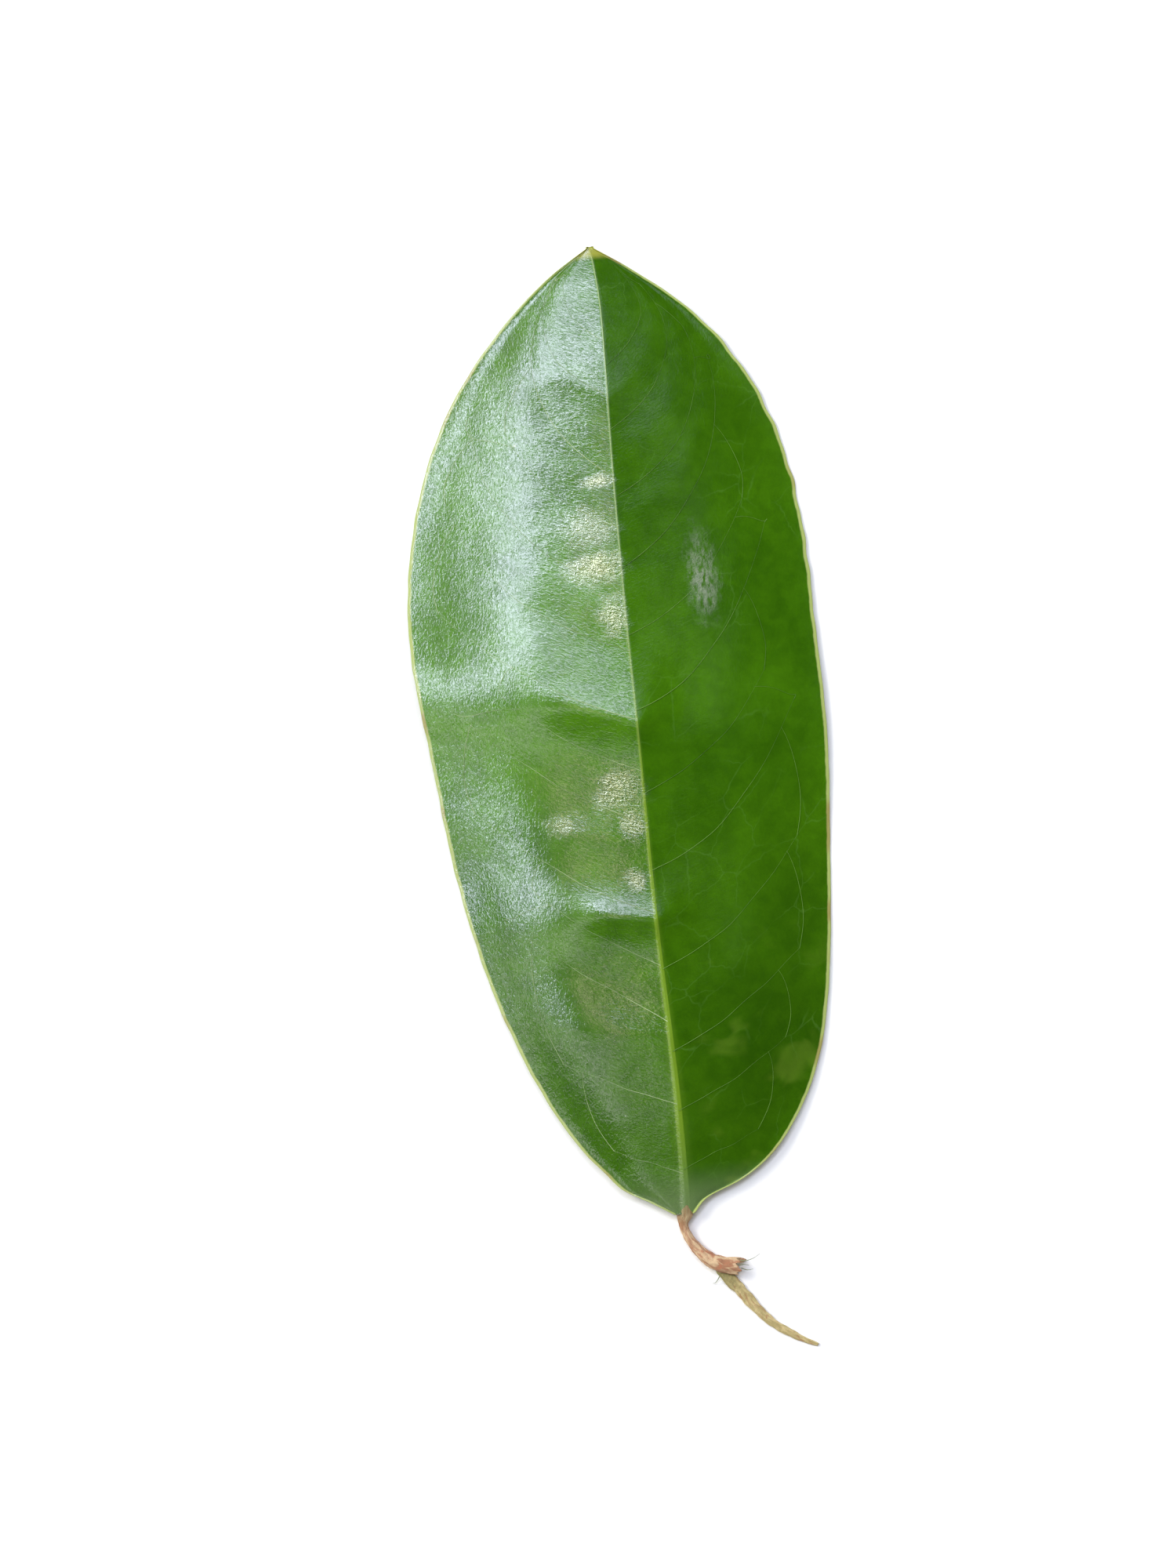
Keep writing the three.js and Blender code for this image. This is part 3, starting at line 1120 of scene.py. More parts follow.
    def edge_colour(self, desk: BladeDesk, colour: Value, length: float) -> bpy.types.NodeSocket:
        """The pale rim, browned in places, the greyish foot and the yellow tip.

        Args:
            desk: The material's desk.
            colour: The blade's colour without them.
            length: The blade's length.

        Returns:
            The colour.
        """
        uneven = desk.between(desk.noise(desk.spot, 0.9, 2.0), -0.1, 0.1)
        rim = desk.step(desk.total(desk.inset, uneven), 0.42, 0.2)
        brown = desk.step(desk.noise(desk.spot, 0.11, 2.0), 0.56, 0.66)
        rim_colour = desk.mix(desk.product(brown, 0.6), self.margin, self.margin_brown)
        grey = desk.product(desk.step(desk.along, 7.0, 0.5), 0.6)
        colour = desk.mix(grey, colour, self.foot_grey)
        colour = desk.mix(rim, colour, rim_colour)
        at_tip = desk.step(desk.along, length - 2.0, length - 0.9)
        return desk.mix(desk.product(at_tip, 0.8), colour, self.tip_patch)

    def surface_roughness(self, desk: BladeDesk, dust: Value) -> bpy.types.NodeSocket:
        """Smooth above and dull below, a little uneven, and rough on the dust.

        Args:
            desk: The material's desk.
            dust: 1 on the specks of dust.

        Returns:
            The roughness.
        """
        plain = desk.between(desk.below, self.roughness, self.below_roughness)
        clouds = desk.noise(desk.spot, 0.25, 3.0)
        uneven = desk.between(clouds, -self.uneven_roughness, self.uneven_roughness)
        return desk.total(plain, uneven, desk.product(dust, self.dust_roughness))

    def surface_gloss(self, desk: BladeDesk, sheen: Value, spots: Value) -> bpy.types.NodeSocket:
        """How brightly the skin reflects: most in the puckers and on the rubbed spot.

        Args:
            desk: The material's desk.
            sheen: 0 in the wrinkles' hollows and 1 on their crests.
            spots: How much the skin is puckered.

        Returns:
            The level of the reflections.
        """
        side = desk.between(desk.step(desk.aside, 0.5, -0.5), self.right_gloss, 1.0)
        plain = desk.product(desk.between(sheen, *self.gloss), side)
        streaks = desk.noise(desk.scaled(desk.spot, self.rubbed_streaks), 1.0, 3.0)
        rubbed = self.puckered(desk, (self.rubbed,))
        rubbed = desk.product(rubbed, desk.step(streaks, 0.32, 0.6), self.rubbed_gloss)
        above = desk.total(plain, desk.product(spots, self.pucker_gloss), rubbed)
        return desk.between(desk.below, above, self.below_gloss)

    def skin_relief(
        self, desk: BladeDesk, spots: Value
    ) -> tuple[bpy.types.NodeSocket, bpy.types.NodeSocket]:
        """The leathery surface: strokes along the veins, and along the margin farther out.

        Args:
            desk: The material's desk.
            spots: How much the skin is puckered.

        Returns:
            The normal, and a mask that is 1 on the worn crests.
        """
        along_vein = desk.scaled(desk.flow, (1.5, 3.0, 1.0))
        along_edge = desk.scaled(desk.spot, (3.0, 1.8, 1.0))
        depth = self.wrinkle_depth(desk, spots)
        inner = desk.group(desk.effects.wrinkle, Place=desk.spot, Strokes=along_vein, Depth=depth)
        outer = desk.group(desk.effects.wrinkle, Place=desk.spot, Strokes=along_edge, Depth=depth)
        outward = desk.step(desk.calc("ABSOLUTE", desk.share), 0.3, 0.65)
        height = desk.between(outward, inner.outputs["Height"], outer.outputs["Height"])
        sheen = desk.between(outward, inner.outputs["Sheen"], outer.outputs["Sheen"])
        net = desk.group(desk.effects.net, Place=desk.spot, Meshes=self.net_meshes, Line=0.06)
        height = desk.total(height, desk.product(net.outputs[0], desk.below))
        return desk.bump(height, self.relief), sheen

    def puckered(self, desk: BladeDesk, puckers: tuple[Pucker, ...]) -> bpy.types.NodeSocket:
        """How much the skin is puckered.

        Args:
            desk: The material's desk.
            puckers: The puckered spots.

        Returns:
            A mask that reaches each spot's strength in its middle, with ragged edges.
        """
        ragged = desk.between(desk.noise(desk.spot, 0.6, 2.0), -0.6, 0.6)
        spots: Value = 0.0
        for pucker in puckers:
            across = desk.calc("SUBTRACT", desk.aside, pucker.aside)
            lengthways = desk.calc("SUBTRACT", desk.along, pucker.along)
            size = (1 / pucker.across, 1 / pucker.lengthways, 1.0)
            ahead = desk.scaled(desk.vector(across, lengthways), size)
            away = desk.fed("ShaderNodeVectorMath", {0: ahead}, operation="LENGTH")
            near = desk.total(away.outputs["Value"], ragged)
            spot = desk.product(desk.step(near, 1.3, 0.1), pucker.strength)
            spots = desk.calc("MAXIMUM", spots, spot)
        return spots

    def wrinkle_depth(self, desk: BladeDesk, spots: Value) -> bpy.types.NodeSocket:
        """How deep the wrinkles are: deeper beside the midrib, and deepest in the puckers.

        Args:
            desk: The material's desk.
            spots: How much the skin is puckered.

        Returns:
            The depth, where 1 is a plain wrinkle.
        """
        on_left = desk.step(desk.aside, 0.5, -0.5)
        near_rib = desk.step(desk.aside, -10.0, -5.0)
        blotches = desk.step(desk.noise(desk.spot, 0.2, 2.0), 0.42, 0.6)
        beside = desk.product(near_rib, on_left, blotches, 0.25)
        plain = desk.between(on_left, 0.7, 1.1)
        return desk.total(plain, beside, desk.product(spots, self.pucker_depth))


@dataclass(frozen=True)
class VeinSkin:
    """Veins and fibres: a pale colour that fades into the green round it in places.

    shows says how much of the pale colour is left where it fades most and least.
    """

    name: str
    pale: Colour
    deep: Colour
    light: Colour
    shows: tuple[float, float]
    roughness: float
    stroke_scale: float = 1.2
    relief: float = 0.05

    def make(self, effects: SharedEffects) -> bpy.types.Material:
        """Builds the material.

        Args:
            effects: The shared node groups.

        Returns:
            The material.
        """
        material, desk, shader = new_material(self.name)
        place = desk.place()
        green = desk.group(effects.mottle, Place=place, Deep=self.deep, Light=self.light)
        clouds = desk.noise(place, 0.13, 3.0)
        shown = desk.between(desk.step(clouds, 0.36, 0.62), *self.shows)
        desk.feed(shader.inputs["Base Color"], desk.mix(shown, green.outputs[0], self.pale))
        shader.inputs["Roughness"].default_value = self.roughness
        strokes = desk.scaled(place, (self.stroke_scale,) * 3)
        wrinkle = desk.group(effects.wrinkle, Place=place, Strokes=strokes, Depth=1.0)
        desk.feed(shader.inputs["Normal"], desk.bump(wrinkle.outputs["Height"], self.relief))
        return material


@dataclass(frozen=True)
class BarkSkin:
    """Young bark: a ground colour with paler streaks, reddish flecks and a green end.

    green_until is how far from its root the piece is green, and relief is the height of the
    grain, both in millimetres.
    """

    name: str
    ground: Colour
    streak: Colour
    fleck: Colour
    green: Colour
    green_until: float
    dark_speck: Colour
    relief: float
    grain_close: float = 1.6
    roughness: float = 0.78

    def make(self, effects: SharedEffects) -> bpy.types.Material:
        """Builds the material. The mesh stores its places as if it were straight.

        Args:
            effects: The shared node groups.

        Returns:
            The material.
        """
        material, desk, shader = new_material(self.name)
        straight = desk.stored("straight", "Vector")
        along = desk.stored("along")
        grain = desk.group(effects.grain, Place=straight, Close=self.grain_close)
        colour = desk.mix(grain.outputs["Streak"], self.ground, self.streak)
        colour = desk.mix(desk.product(grain.outputs["Fleck"], 0.8), colour, self.fleck)
        wander = desk.between(desk.noise(straight, 0.5, 2.0), -1.2, 1.2)
        green_end = desk.step(desk.total(along, wander), self.green_until, 0.5)
        colour = desk.mix(green_end, colour, self.green)
        specks = desk.group(effects.specks, Place=straight, Close=0.4, Size=0.1, Share=0.3)
        colour = desk.mix(desk.product(specks.outputs[0], 0.85), colour, self.dark_speck)
        fine = desk.noise(straight, 4.5, 2.0)
        colour = desk.tint(colour, desk.between(fine, 0.8, 1.2))
        desk.feed(shader.inputs["Base Color"], colour)
        shader.inputs["Roughness"].default_value = self.roughness
        desk.feed(shader.inputs["Normal"], desk.bump(grain.outputs["Height"], self.relief))
        return material


# ---------------------------------------------------------------------------
# Ribs and fibres that follow a path
# ---------------------------------------------------------------------------


class RibTree:
    """Geometry nodes that sweep an oval section along lines, laid on the blade if asked.

    The lines are a mesh of edges that stores a girth at each point.
    """

    FARTHEST_FALL = 0.2

    def __init__(self) -> None:
        """Builds the tree: lays the lines on the blade, sweeps the section, adds the finish."""
        inputs = {
            "Lines": GEOMETRY,
            "Blade": OBJECT,
            "Fall": VECTOR,
            "Flatness": FLOAT,
            "Sides": INTEGER,
            "Finish": MATERIAL,
        }
        sockets = {"INPUT": inputs, "OUTPUT": {"Ribs": GEOMETRY}}
        self.tree = new_group("swept_ribs", "GeometryNodeTree", sockets)
        desk = NodeDesk(self.tree)
        given = desk.add("NodeGroupInput").outputs
        result = desk.add("NodeGroupOutput").inputs

        blade = desk.fed(
            "GeometryNodeObjectInfo", {"Object": given["Blade"]}, transform_space="RELATIVE"
        )
        falling = {
            "Target Geometry": blade.outputs["Geometry"],
            "Ray Direction": given["Fall"],
            "Ray Length": self.FARTHEST_FALL,
        }
        cast = desk.fed("GeometryNodeRaycast", falling).outputs
        laying = {
            "Geometry": given["Lines"],
            "Selection": cast["Is Hit"],
            "Position": cast["Hit Position"],
        }
        laid = desk.fed("GeometryNodeSetPosition", laying).outputs["Geometry"]
        curve = desk.fed("GeometryNodeMeshToCurve", {"Mesh": laid}).outputs["Curve"]
        upright = desk.fed("GeometryNodeSetCurveNormal", {"Curve": curve}, mode="Z_UP")

        ring = desk.fed(
            "GeometryNodeCurvePrimitiveCircle", {"Resolution": given["Sides"], "Radius": 1.0}
        )
        squeezing = {
            "Geometry": ring.outputs["Curve"],
            "Scale": desk.vector(given["Flatness"], 1.0, 1.0),
        }
        oval = desk.fed("GeometryNodeTransform", squeezing)
        girth = desk.fed("GeometryNodeInputNamedAttribute", {"Name": "girth"}, data_type="FLOAT")
        sweeping = {
            "Curve": upright.outputs["Curve"],
            "Profile Curve": oval.outputs["Geometry"],
            "Scale": girth.outputs["Attribute"],
            "Fill Caps": True,
        }
        sweep = desk.fed("GeometryNodeCurveToMesh", sweeping)
        real = desk.fed("GeometryNodeRealizeInstances", {0: sweep.outputs["Mesh"]})
        smooth = desk.fed("GeometryNodeSetShadeSmooth", {"Geometry": real.outputs[0]})
        dressing = {"Geometry": smooth.outputs["Geometry"], "Material": given["Finish"]}
        finish = desk.fed("GeometryNodeSetMaterial", dressing)
        desk.feed(result["Ribs"], finish.outputs["Geometry"])

    def identifier(self, name: str) -> str:
        """The identifier of one of the tree's inputs."""
        for item in self.tree.interface.items_tree:
            if item.name == name and item.in_out == "INPUT":
                return item.identifier
        raise KeyError(name)

    def sweep(
        self,
        name: str,
        lines: list[tuple[np.ndarray, np.ndarray]],
        inputs: dict[str, object],
    ) -> bpy.types.Object:
        """Sweeps the section along lines and returns the result as a plain mesh.

        Args:
            name: The new piece's name.
            lines: For each line its points, in metres in the part's frame, and their girths.
            inputs: The tree's other inputs by name.

        Returns:
            The new object.
        """
        source = bpy.data.meshes.new(name + "_lines")
        points = np.concatenate([line[0] for line in lines])
        girths = np.concatenate([line[1] for line in lines])
        edges, first = [], 0
        for line, _girths in lines:
            edges += [(first + k, first + k + 1) for k in range(len(line) - 1)]
            first += len(line)
        source.from_pydata(points.tolist(), edges, [])
        layer = source.attributes.new("girth", "FLOAT", "POINT")
        layer.data.foreach_set("value", girths.astype(np.float32))
        holder = bpy.data.objects.new(name + "_holder", source)
        bpy.context.scene.collection.objects.link(holder)
        modifier = holder.modifiers.new("ribs", "NODES")
        modifier.node_group = self.tree
        for label, value in inputs.items():
            modifier[self.identifier(label)] = value
        bpy.context.view_layer.update()
        graph = bpy.context.evaluated_depsgraph_get()
        mesh = bpy.data.meshes.new_from_object(holder.evaluated_get(graph))
        mesh.name = name
        holder.modifiers.remove(modifier)
        bpy.data.objects.remove(holder)
        made = bpy.data.objects.new(name, mesh)
        bpy.context.scene.collection.objects.link(made)
        return made


# ---------------------------------------------------------------------------
# The pieces of the leaf
# ---------------------------------------------------------------------------


@dataclass
class Blade:
    """The blade: one closed sheet with a face, an underside and rounded margins."""

    shape: BladeShape
    place: LeafPlace
    sections: int = 300
    half_columns: int = 66
    rim_points: int = 3
    crowd_at_rib: float = 0.35
    crowd_at_ends: float = 0.05
    # The midrib's relief: heights in millimetres, reaches in half widths of the midrib.
    groove_depth: float = 0.05
    groove_reach: float = 1.3
    ridge_height: float = 0.12
    ridge_reach: float = 0.6
    full_half_width: float = 0.6
    least_relief: float = 0.35
    bulge_reach: float = 1.25
    # How the grain of the skin runs forward with the distance from the midrib.
    vein_flow: tuple[float, float] = (0.34, 0.005)
    # The map: millimetres left free at its edge, between its halves and at its far side.
    map_edge: float = 1.5
    map_gap: float = 6.5
    map_spare: float = 4.0
    map_rim: float = 0.4

    def columns(self) -> tuple[np.ndarray, np.ndarray, np.ndarray]:
        """One ring round the blade, across the face, over the right rim and back below.

        Returns:
            For each point its share across, from -1 to 1, its level, from 1 on the face to
            -1 below, and how far it is pushed out at the rim, in half thicknesses.
        """
        even = np.linspace(0, 1, self.half_columns + 1)
        to_rib, to_margin = even**2.2, np.sin(even * math.pi / 2) ** 1.25
        crowded = self.crowd_at_rib * to_rib + (1 - self.crowd_at_rib) * to_margin
        half = crowded[1:]
        across = np.concatenate([-half[::-1], [0.0], half])
        turn = np.linspace(math.pi / 2, -math.pi / 2, self.rim_points + 2)[1:-1]
        share = np.concatenate([across, np.ones(len(turn)), across[::-1], -np.ones(len(turn))])
        flat = np.ones(len(across))
        level = np.concatenate([flat, np.sin(turn), -flat, np.sin(turn[::-1])])
        push = np.concatenate([0 * flat, np.cos(turn), 0 * flat, np.cos(turn)])
        return share, level, push

    def stations(self) -> np.ndarray:
        """Distances of the sections from the foot, closer together at both ends."""
        even = np.linspace(0, 1, self.sections)
        return self.shape.length * (even - self.crowd_at_ends * np.sin(2 * math.pi * even))

    def rib_relief(self, offset: np.ndarray, y: np.ndarray, level: np.ndarray) -> np.ndarray:
        """The midrib's relief: a low ridge between two grooves above, a stout bulge below.

        Args:
            offset: Distances to the right of the midrib's line.
            y: Distances from the foot.
            level: 1 on the face and -1 on the underside.

        Returns:
            The height to add, in millimetres.
        """
        half_width, depth = np.moveaxis(self.shape.midrib_sizes.at(y), -1, 0)
        near = offset / half_width
        groove = self.groove_depth * np.exp(-((near / self.groove_reach) ** 2))
        groove -= self.ridge_height * np.exp(-((near / self.ridge_reach) ** 2))
        groove *= np.clip(half_width / self.full_half_width, self.least_relief, 1)
        bulge = depth * np.exp(-((near / self.bulge_reach) ** 2))
        return np.where(level >= 1, -groove, np.where(level <= -1, -bulge, 0.0))

    def make(self, skin: bpy.types.Material) -> bpy.types.Object:
        """Builds and dresses the blade.

        Args:
            skin: Its material.

        Returns:
            The finished piece.
        """
        shape = self.shape
        share, level, push = self.columns()
        y, s = np.meshgrid(self.stations(), share, indexing="ij")
        level, push = np.broadcast_to(level, s.shape), np.broadcast_to(push, s.shape)
        half = shape.half_thickness(s)
        side = np.sign(s)
        x = shape.middle_x(s, y) + push * side * half
        offset = x - shape.midrib.at(y)[..., 0]
        quilt = np.stack([shape.quilt(float(c), y[:, 0]) for c in share], axis=1)
        relief = self.rib_relief(offset, y, level)
        z = shape.mid_surface(s, y) + quilt + level * half + relief

        rings, columns = s.shape
        foot, tip = s.size, s.size + 1
        faces = ring_faces(rings, columns).tolist()
        faces += cap_faces(np.arange(columns), foot, at_end=False)
        faces += cap_faces(np.arange(columns) + (rings - 1) * columns, tip, at_end=True)
        points = with_end_middles(np.stack([x, y, z], axis=-1))
        made = new_mesh("blade", self.place.to_row(points), faces)

        distance = np.abs(s) * shape.reach(s, y)
        lean, bend = self.vein_flow
        run = y - lean * distance - bend * distance**2
        stored = {
            "midrib_offset": offset,
            "midrib_half_width": shape.midrib_sizes.at(y)[..., 0],
            "margin_inset": (1 - np.abs(s)) * shape.reach(s, y) - push * half,
            "along": y,
            "below": (1 - level) / 2,
            "share": s,
            "vein_flow": np.stack([distance * side, run, 0 * y], axis=-1),
        }
        for name, values in stored.items():
            add_numbers(made, name, with_end_middles(values))
        self.lay_out(made, rings, columns)
        made.data.materials.append(skin)
        finish_piece(made)
        return made

    def lay_out(self, made: bpy.types.Object, rings: int, columns: int) -> None:
        """Lays the face and the underside side by side in the map that finishes are baked to.

        The rim goes with the face, spread out beside the margin.

        Args:
            made: The blade.
            rings: How many rings it has.
            columns: How many points each ring has.
        """
        face_columns = 2 * self.half_columns + 1
        first_below = face_columns + self.rim_points
        last_below = first_below + face_columns - 1
        mesh = made.data
        places = np.empty(len(mesh.vertices) * 3)
        mesh.vertices.foreach_get("co", places)
        places = places.reshape(-1, 3) / MM
        low = places.min(axis=0)
        wide = places.max(axis=0)[0] - low[0]
        from_left, from_foot = places[:, 0] - low[0], places[:, 1] - low[1]
        corners = np.empty(len(mesh.loops), dtype=np.int64)
        mesh.loops.foreach_get("vertex_index", corners)

        quads = (rings - 1) * columns
        column = np.repeat(np.arange(quads) % columns, 4)
        below = np.zeros(len(corners), dtype=bool)
        below[: quads * 4] = (column >= first_below) & (column < last_below)
        point_column = corners % columns
        on_face = ~below & (corners < rings * columns)
        over_right = on_face & (point_column >= face_columns) & (point_column <= first_below)
        over_left = on_face & (point_column >= last_below)
        step = self.map_rim / (self.rim_points + 1)
        outward = np.zeros(len(corners))
        outward[over_right] = (point_column[over_right] - face_columns + 1) * step
        outward[over_left] = -(columns - point_column[over_left]) * step

        upright = from_left[corners] + self.map_edge + outward
        mirrored = 2 * wide + self.map_gap - from_left[corners]
        across = np.where(below, mirrored, upright)
        places_in_map = np.stack([across, from_foot[corners] + self.map_edge], axis=-1)
        places_in_map /= self.shape.length + self.map_spare
        layer = mesh.uv_layers.new(name=BAKE_MAP)
        layer.data.foreach_set("uv", places_in_map.astype(np.float32).ravel())


@dataclass(frozen=True)
class VeinLine:
    """The line of a vein, how bold it is, and the share of its girth left at its end."""

    x: np.ndarray
    y: np.ndarray
    bold: float
    taper: float


@dataclass
class SideVeins:
    """Side veins with the loops that join them near the margin, on one face of the blade.

    girth is half the width of the boldest vein at its start, in millimetres, and flatness is
    the section's height as a share of its width. The lines fall on the blade from hover.
    """

    shape: BladeShape
    place: LeafPlace
    tree: RibTree
    name: str
    face: Face
    sides: tuple[Side, ...]
    girth: float
    flatness: float
    hover: float = 30.0
    root: float = 0.004
    vein_points: int = 70
    vein_taper: float = 0.25
    corners_above: int = 6
    corners_below: int = 8
    # A loop bows out past the ends of its veins, and joins the next one short of its end.
    loop_points: int = 40
    loop_out: float = 0.07
    loop_joins: float = 0.06
    loop_bow: float = 0.45
    loop_wobble: tuple[float, float] = (0.25, 9.0)
    loop_bold: tuple[float, float] = (0.1, 0.45)
    loop_taper: float = 0.7
    loop_ends_before_tip: float = 1.0

    def outward_lines(self, side: Side) -> list[VeinLine]:
        """Lines of the side veins on one half, with the loops from each to the next."""
        lines = []
        veins = self.shape.side_veins[side]
        for vein in veins:
            share = np.linspace(self.root, vein.ends, self.vein_points)
            y = self.shape.vein_y(side, vein, share)
            x = self.shape.middle_x(share * side.value, y)
            lines.append(VeinLine(x, y, vein.bold, self.vein_taper))
        for vein, onward in zip(veins[:-1], veins[1:]):
            lines.append(self.loop(side, vein, onward))
        return lines

    def loop(self, side: Side, vein: SideVein, onward: SideVein) -> VeinLine:
        """The arch that carries one side vein's end forward into the next vein.

        Args:
            side: The half of the blade.
            vein: The vein that ends.
            onward: The next one towards the tip.

        Returns:
            The arch's line.
        """
        joins = min(onward.ends, vein.ends) - self.loop_joins
        start_y = self.shape.vein_y(side, vein, np.array([vein.ends]))[0]
        end_y = self.shape.vein_y(side, onward, np.array([joins]))[0]
        t = np.linspace(0, 1, self.loop_points)
        out = max(vein.ends, joins) + self.loop_out
        share = (1 - t) ** 2 * vein.ends + 2 * t * (1 - t) * out + t**2 * joins
        bow = start_y + self.loop_bow * (end_y - start_y)
        y = (1 - t) ** 2 * start_y + 2 * t * (1 - t) * bow + t**2 * end_y
        height, number = self.loop_wobble
        last = self.shape.length - self.loop_ends_before_tip
        y = np.minimum(y + height * np.sin(number * t), last)
        x = self.shape.middle_x(share * side.value, y)
        least, more = self.loop_bold
        return VeinLine(x, y, more * min(vein.bold, onward.bold) + least, self.loop_taper)

    def make(self, blade: bpy.types.Object, skin: bpy.types.Material) -> bpy.types.Object:
        """Sweeps the veins along the blade.

        Args:
            blade: The blade they lie on.
            skin: Their material.

        Returns:
            The finished piece.
        """
        lines = []
        for side in self.sides:
            for line in self.outward_lines(side):
                run = np.linspace(0, 1, len(line.x))
                size = self.girth * (0.5 + 0.5 * line.bold) * (1 - (1 - line.taper) * run)
                high = np.full_like(line.x, self.hover * self.face.value)
                points = np.stack([line.x, line.y, high], axis=-1)
                lines.append((self.place.to_row(points), size * MM))
        inputs = {
            "Blade": blade,
            "Fall": (0.0, 0.0, -float(self.face.value)),
            "Flatness": self.flatness,
            "Sides": self.corners_above if self.face is Face.ABOVE else self.corners_below,
            "Finish": skin,
        }
        made = self.tree.sweep(self.name, lines, inputs)
        finish_piece(made)
        return made


def ring_angles(sides: int) -> np.ndarray:
    """The angles of a ring's points, with a flat side below."""
    return (np.arange(sides) + 0.5) / sides * 2 * math.pi


def sweep_rod(
    stations: Sequence[Sequence[float]],
    sections: int,
    sides: int,
    section: Callable[[np.ndarray, np.ndarray], tuple[np.ndarray, np.ndarray]],
) -> tuple[np.ndarray, np.ndarray, np.ndarray]:
    """Sweeps a section along a smooth path.

    Args:
        stations: x, y, z, width and thickness at each station of the path.
        sections: How many rings to make.
        sides: How many points each ring has.
        section: Gives the sideways and upward shares of the half width and half thickness,
            from the distance along and the angle round.

    Returns:
        The rings' points, their places if the rod were straight, and the distance along.
    """
    table = SmoothTable([(k, *station) for k, station in enumerate(stations)])
    sizes = table.at(np.linspace(0, len(stations) - 1, sections))
    path, wide, thick = sizes[:, :3], sizes[:, 3] / 2, sizes[:, 4] / 2
    tangent = np.gradient(path, axis=0)
    tangent /= np.linalg.norm(tangent, axis=1, keepdims=True)
    sideways = np.cross(tangent, [0.0, 0.0, 1.0])
    sideways /= np.linalg.norm(sideways, axis=1, keepdims=True)
    upward = np.cross(sideways, tangent)
    steps = np.linalg.norm(np.diff(path, axis=0), axis=1)
    along = np.concatenate([[0.0], np.cumsum(steps)])
    along_grid, angle_grid = np.meshgrid(along, ring_angles(sides), indexing="ij")
    across, up = section(along_grid, angle_grid)
    across, up = across * wide[:, None], up * thick[:, None]
    points = (
        path[:, None, :]
        + across[..., None] * sideways[:, None, :]
        + up[..., None] * upward[:, None, :]
    )
    straight = np.stack([across, up, along_grid], axis=-1)
    return points, straight, along_grid


def close_rod(
    name: str,
    place: LeafPlace,
    points: np.ndarray,
    straight: np.ndarray,
    along: np.ndarray,
) -> bpy.types.Object:
    """Makes a closed mesh from a swept rod's rings.

    Args:
        name: The piece's name.
        place: Where the leaf's own frame is.
        points: The rings' points.
        straight: Their places if the rod were straight.
        along: Their distances along it.

    Returns:
        The object, with its straight places and distances stored for its material.
    """
    rings, sides = along.shape
    faces = ring_faces(rings, sides).tolist()
    faces += cap_faces(np.arange(sides), rings * sides, at_end=False)
    last = np.arange(sides) + (rings - 1) * sides
    faces += cap_faces(last, rings * sides + 1, at_end=True)
    made = new_mesh(name, place.to_row(with_end_middles(points)), faces)
    add_numbers(made, "straight", with_end_middles(straight))
    add_numbers(made, "along", with_end_middles(along))
    return made


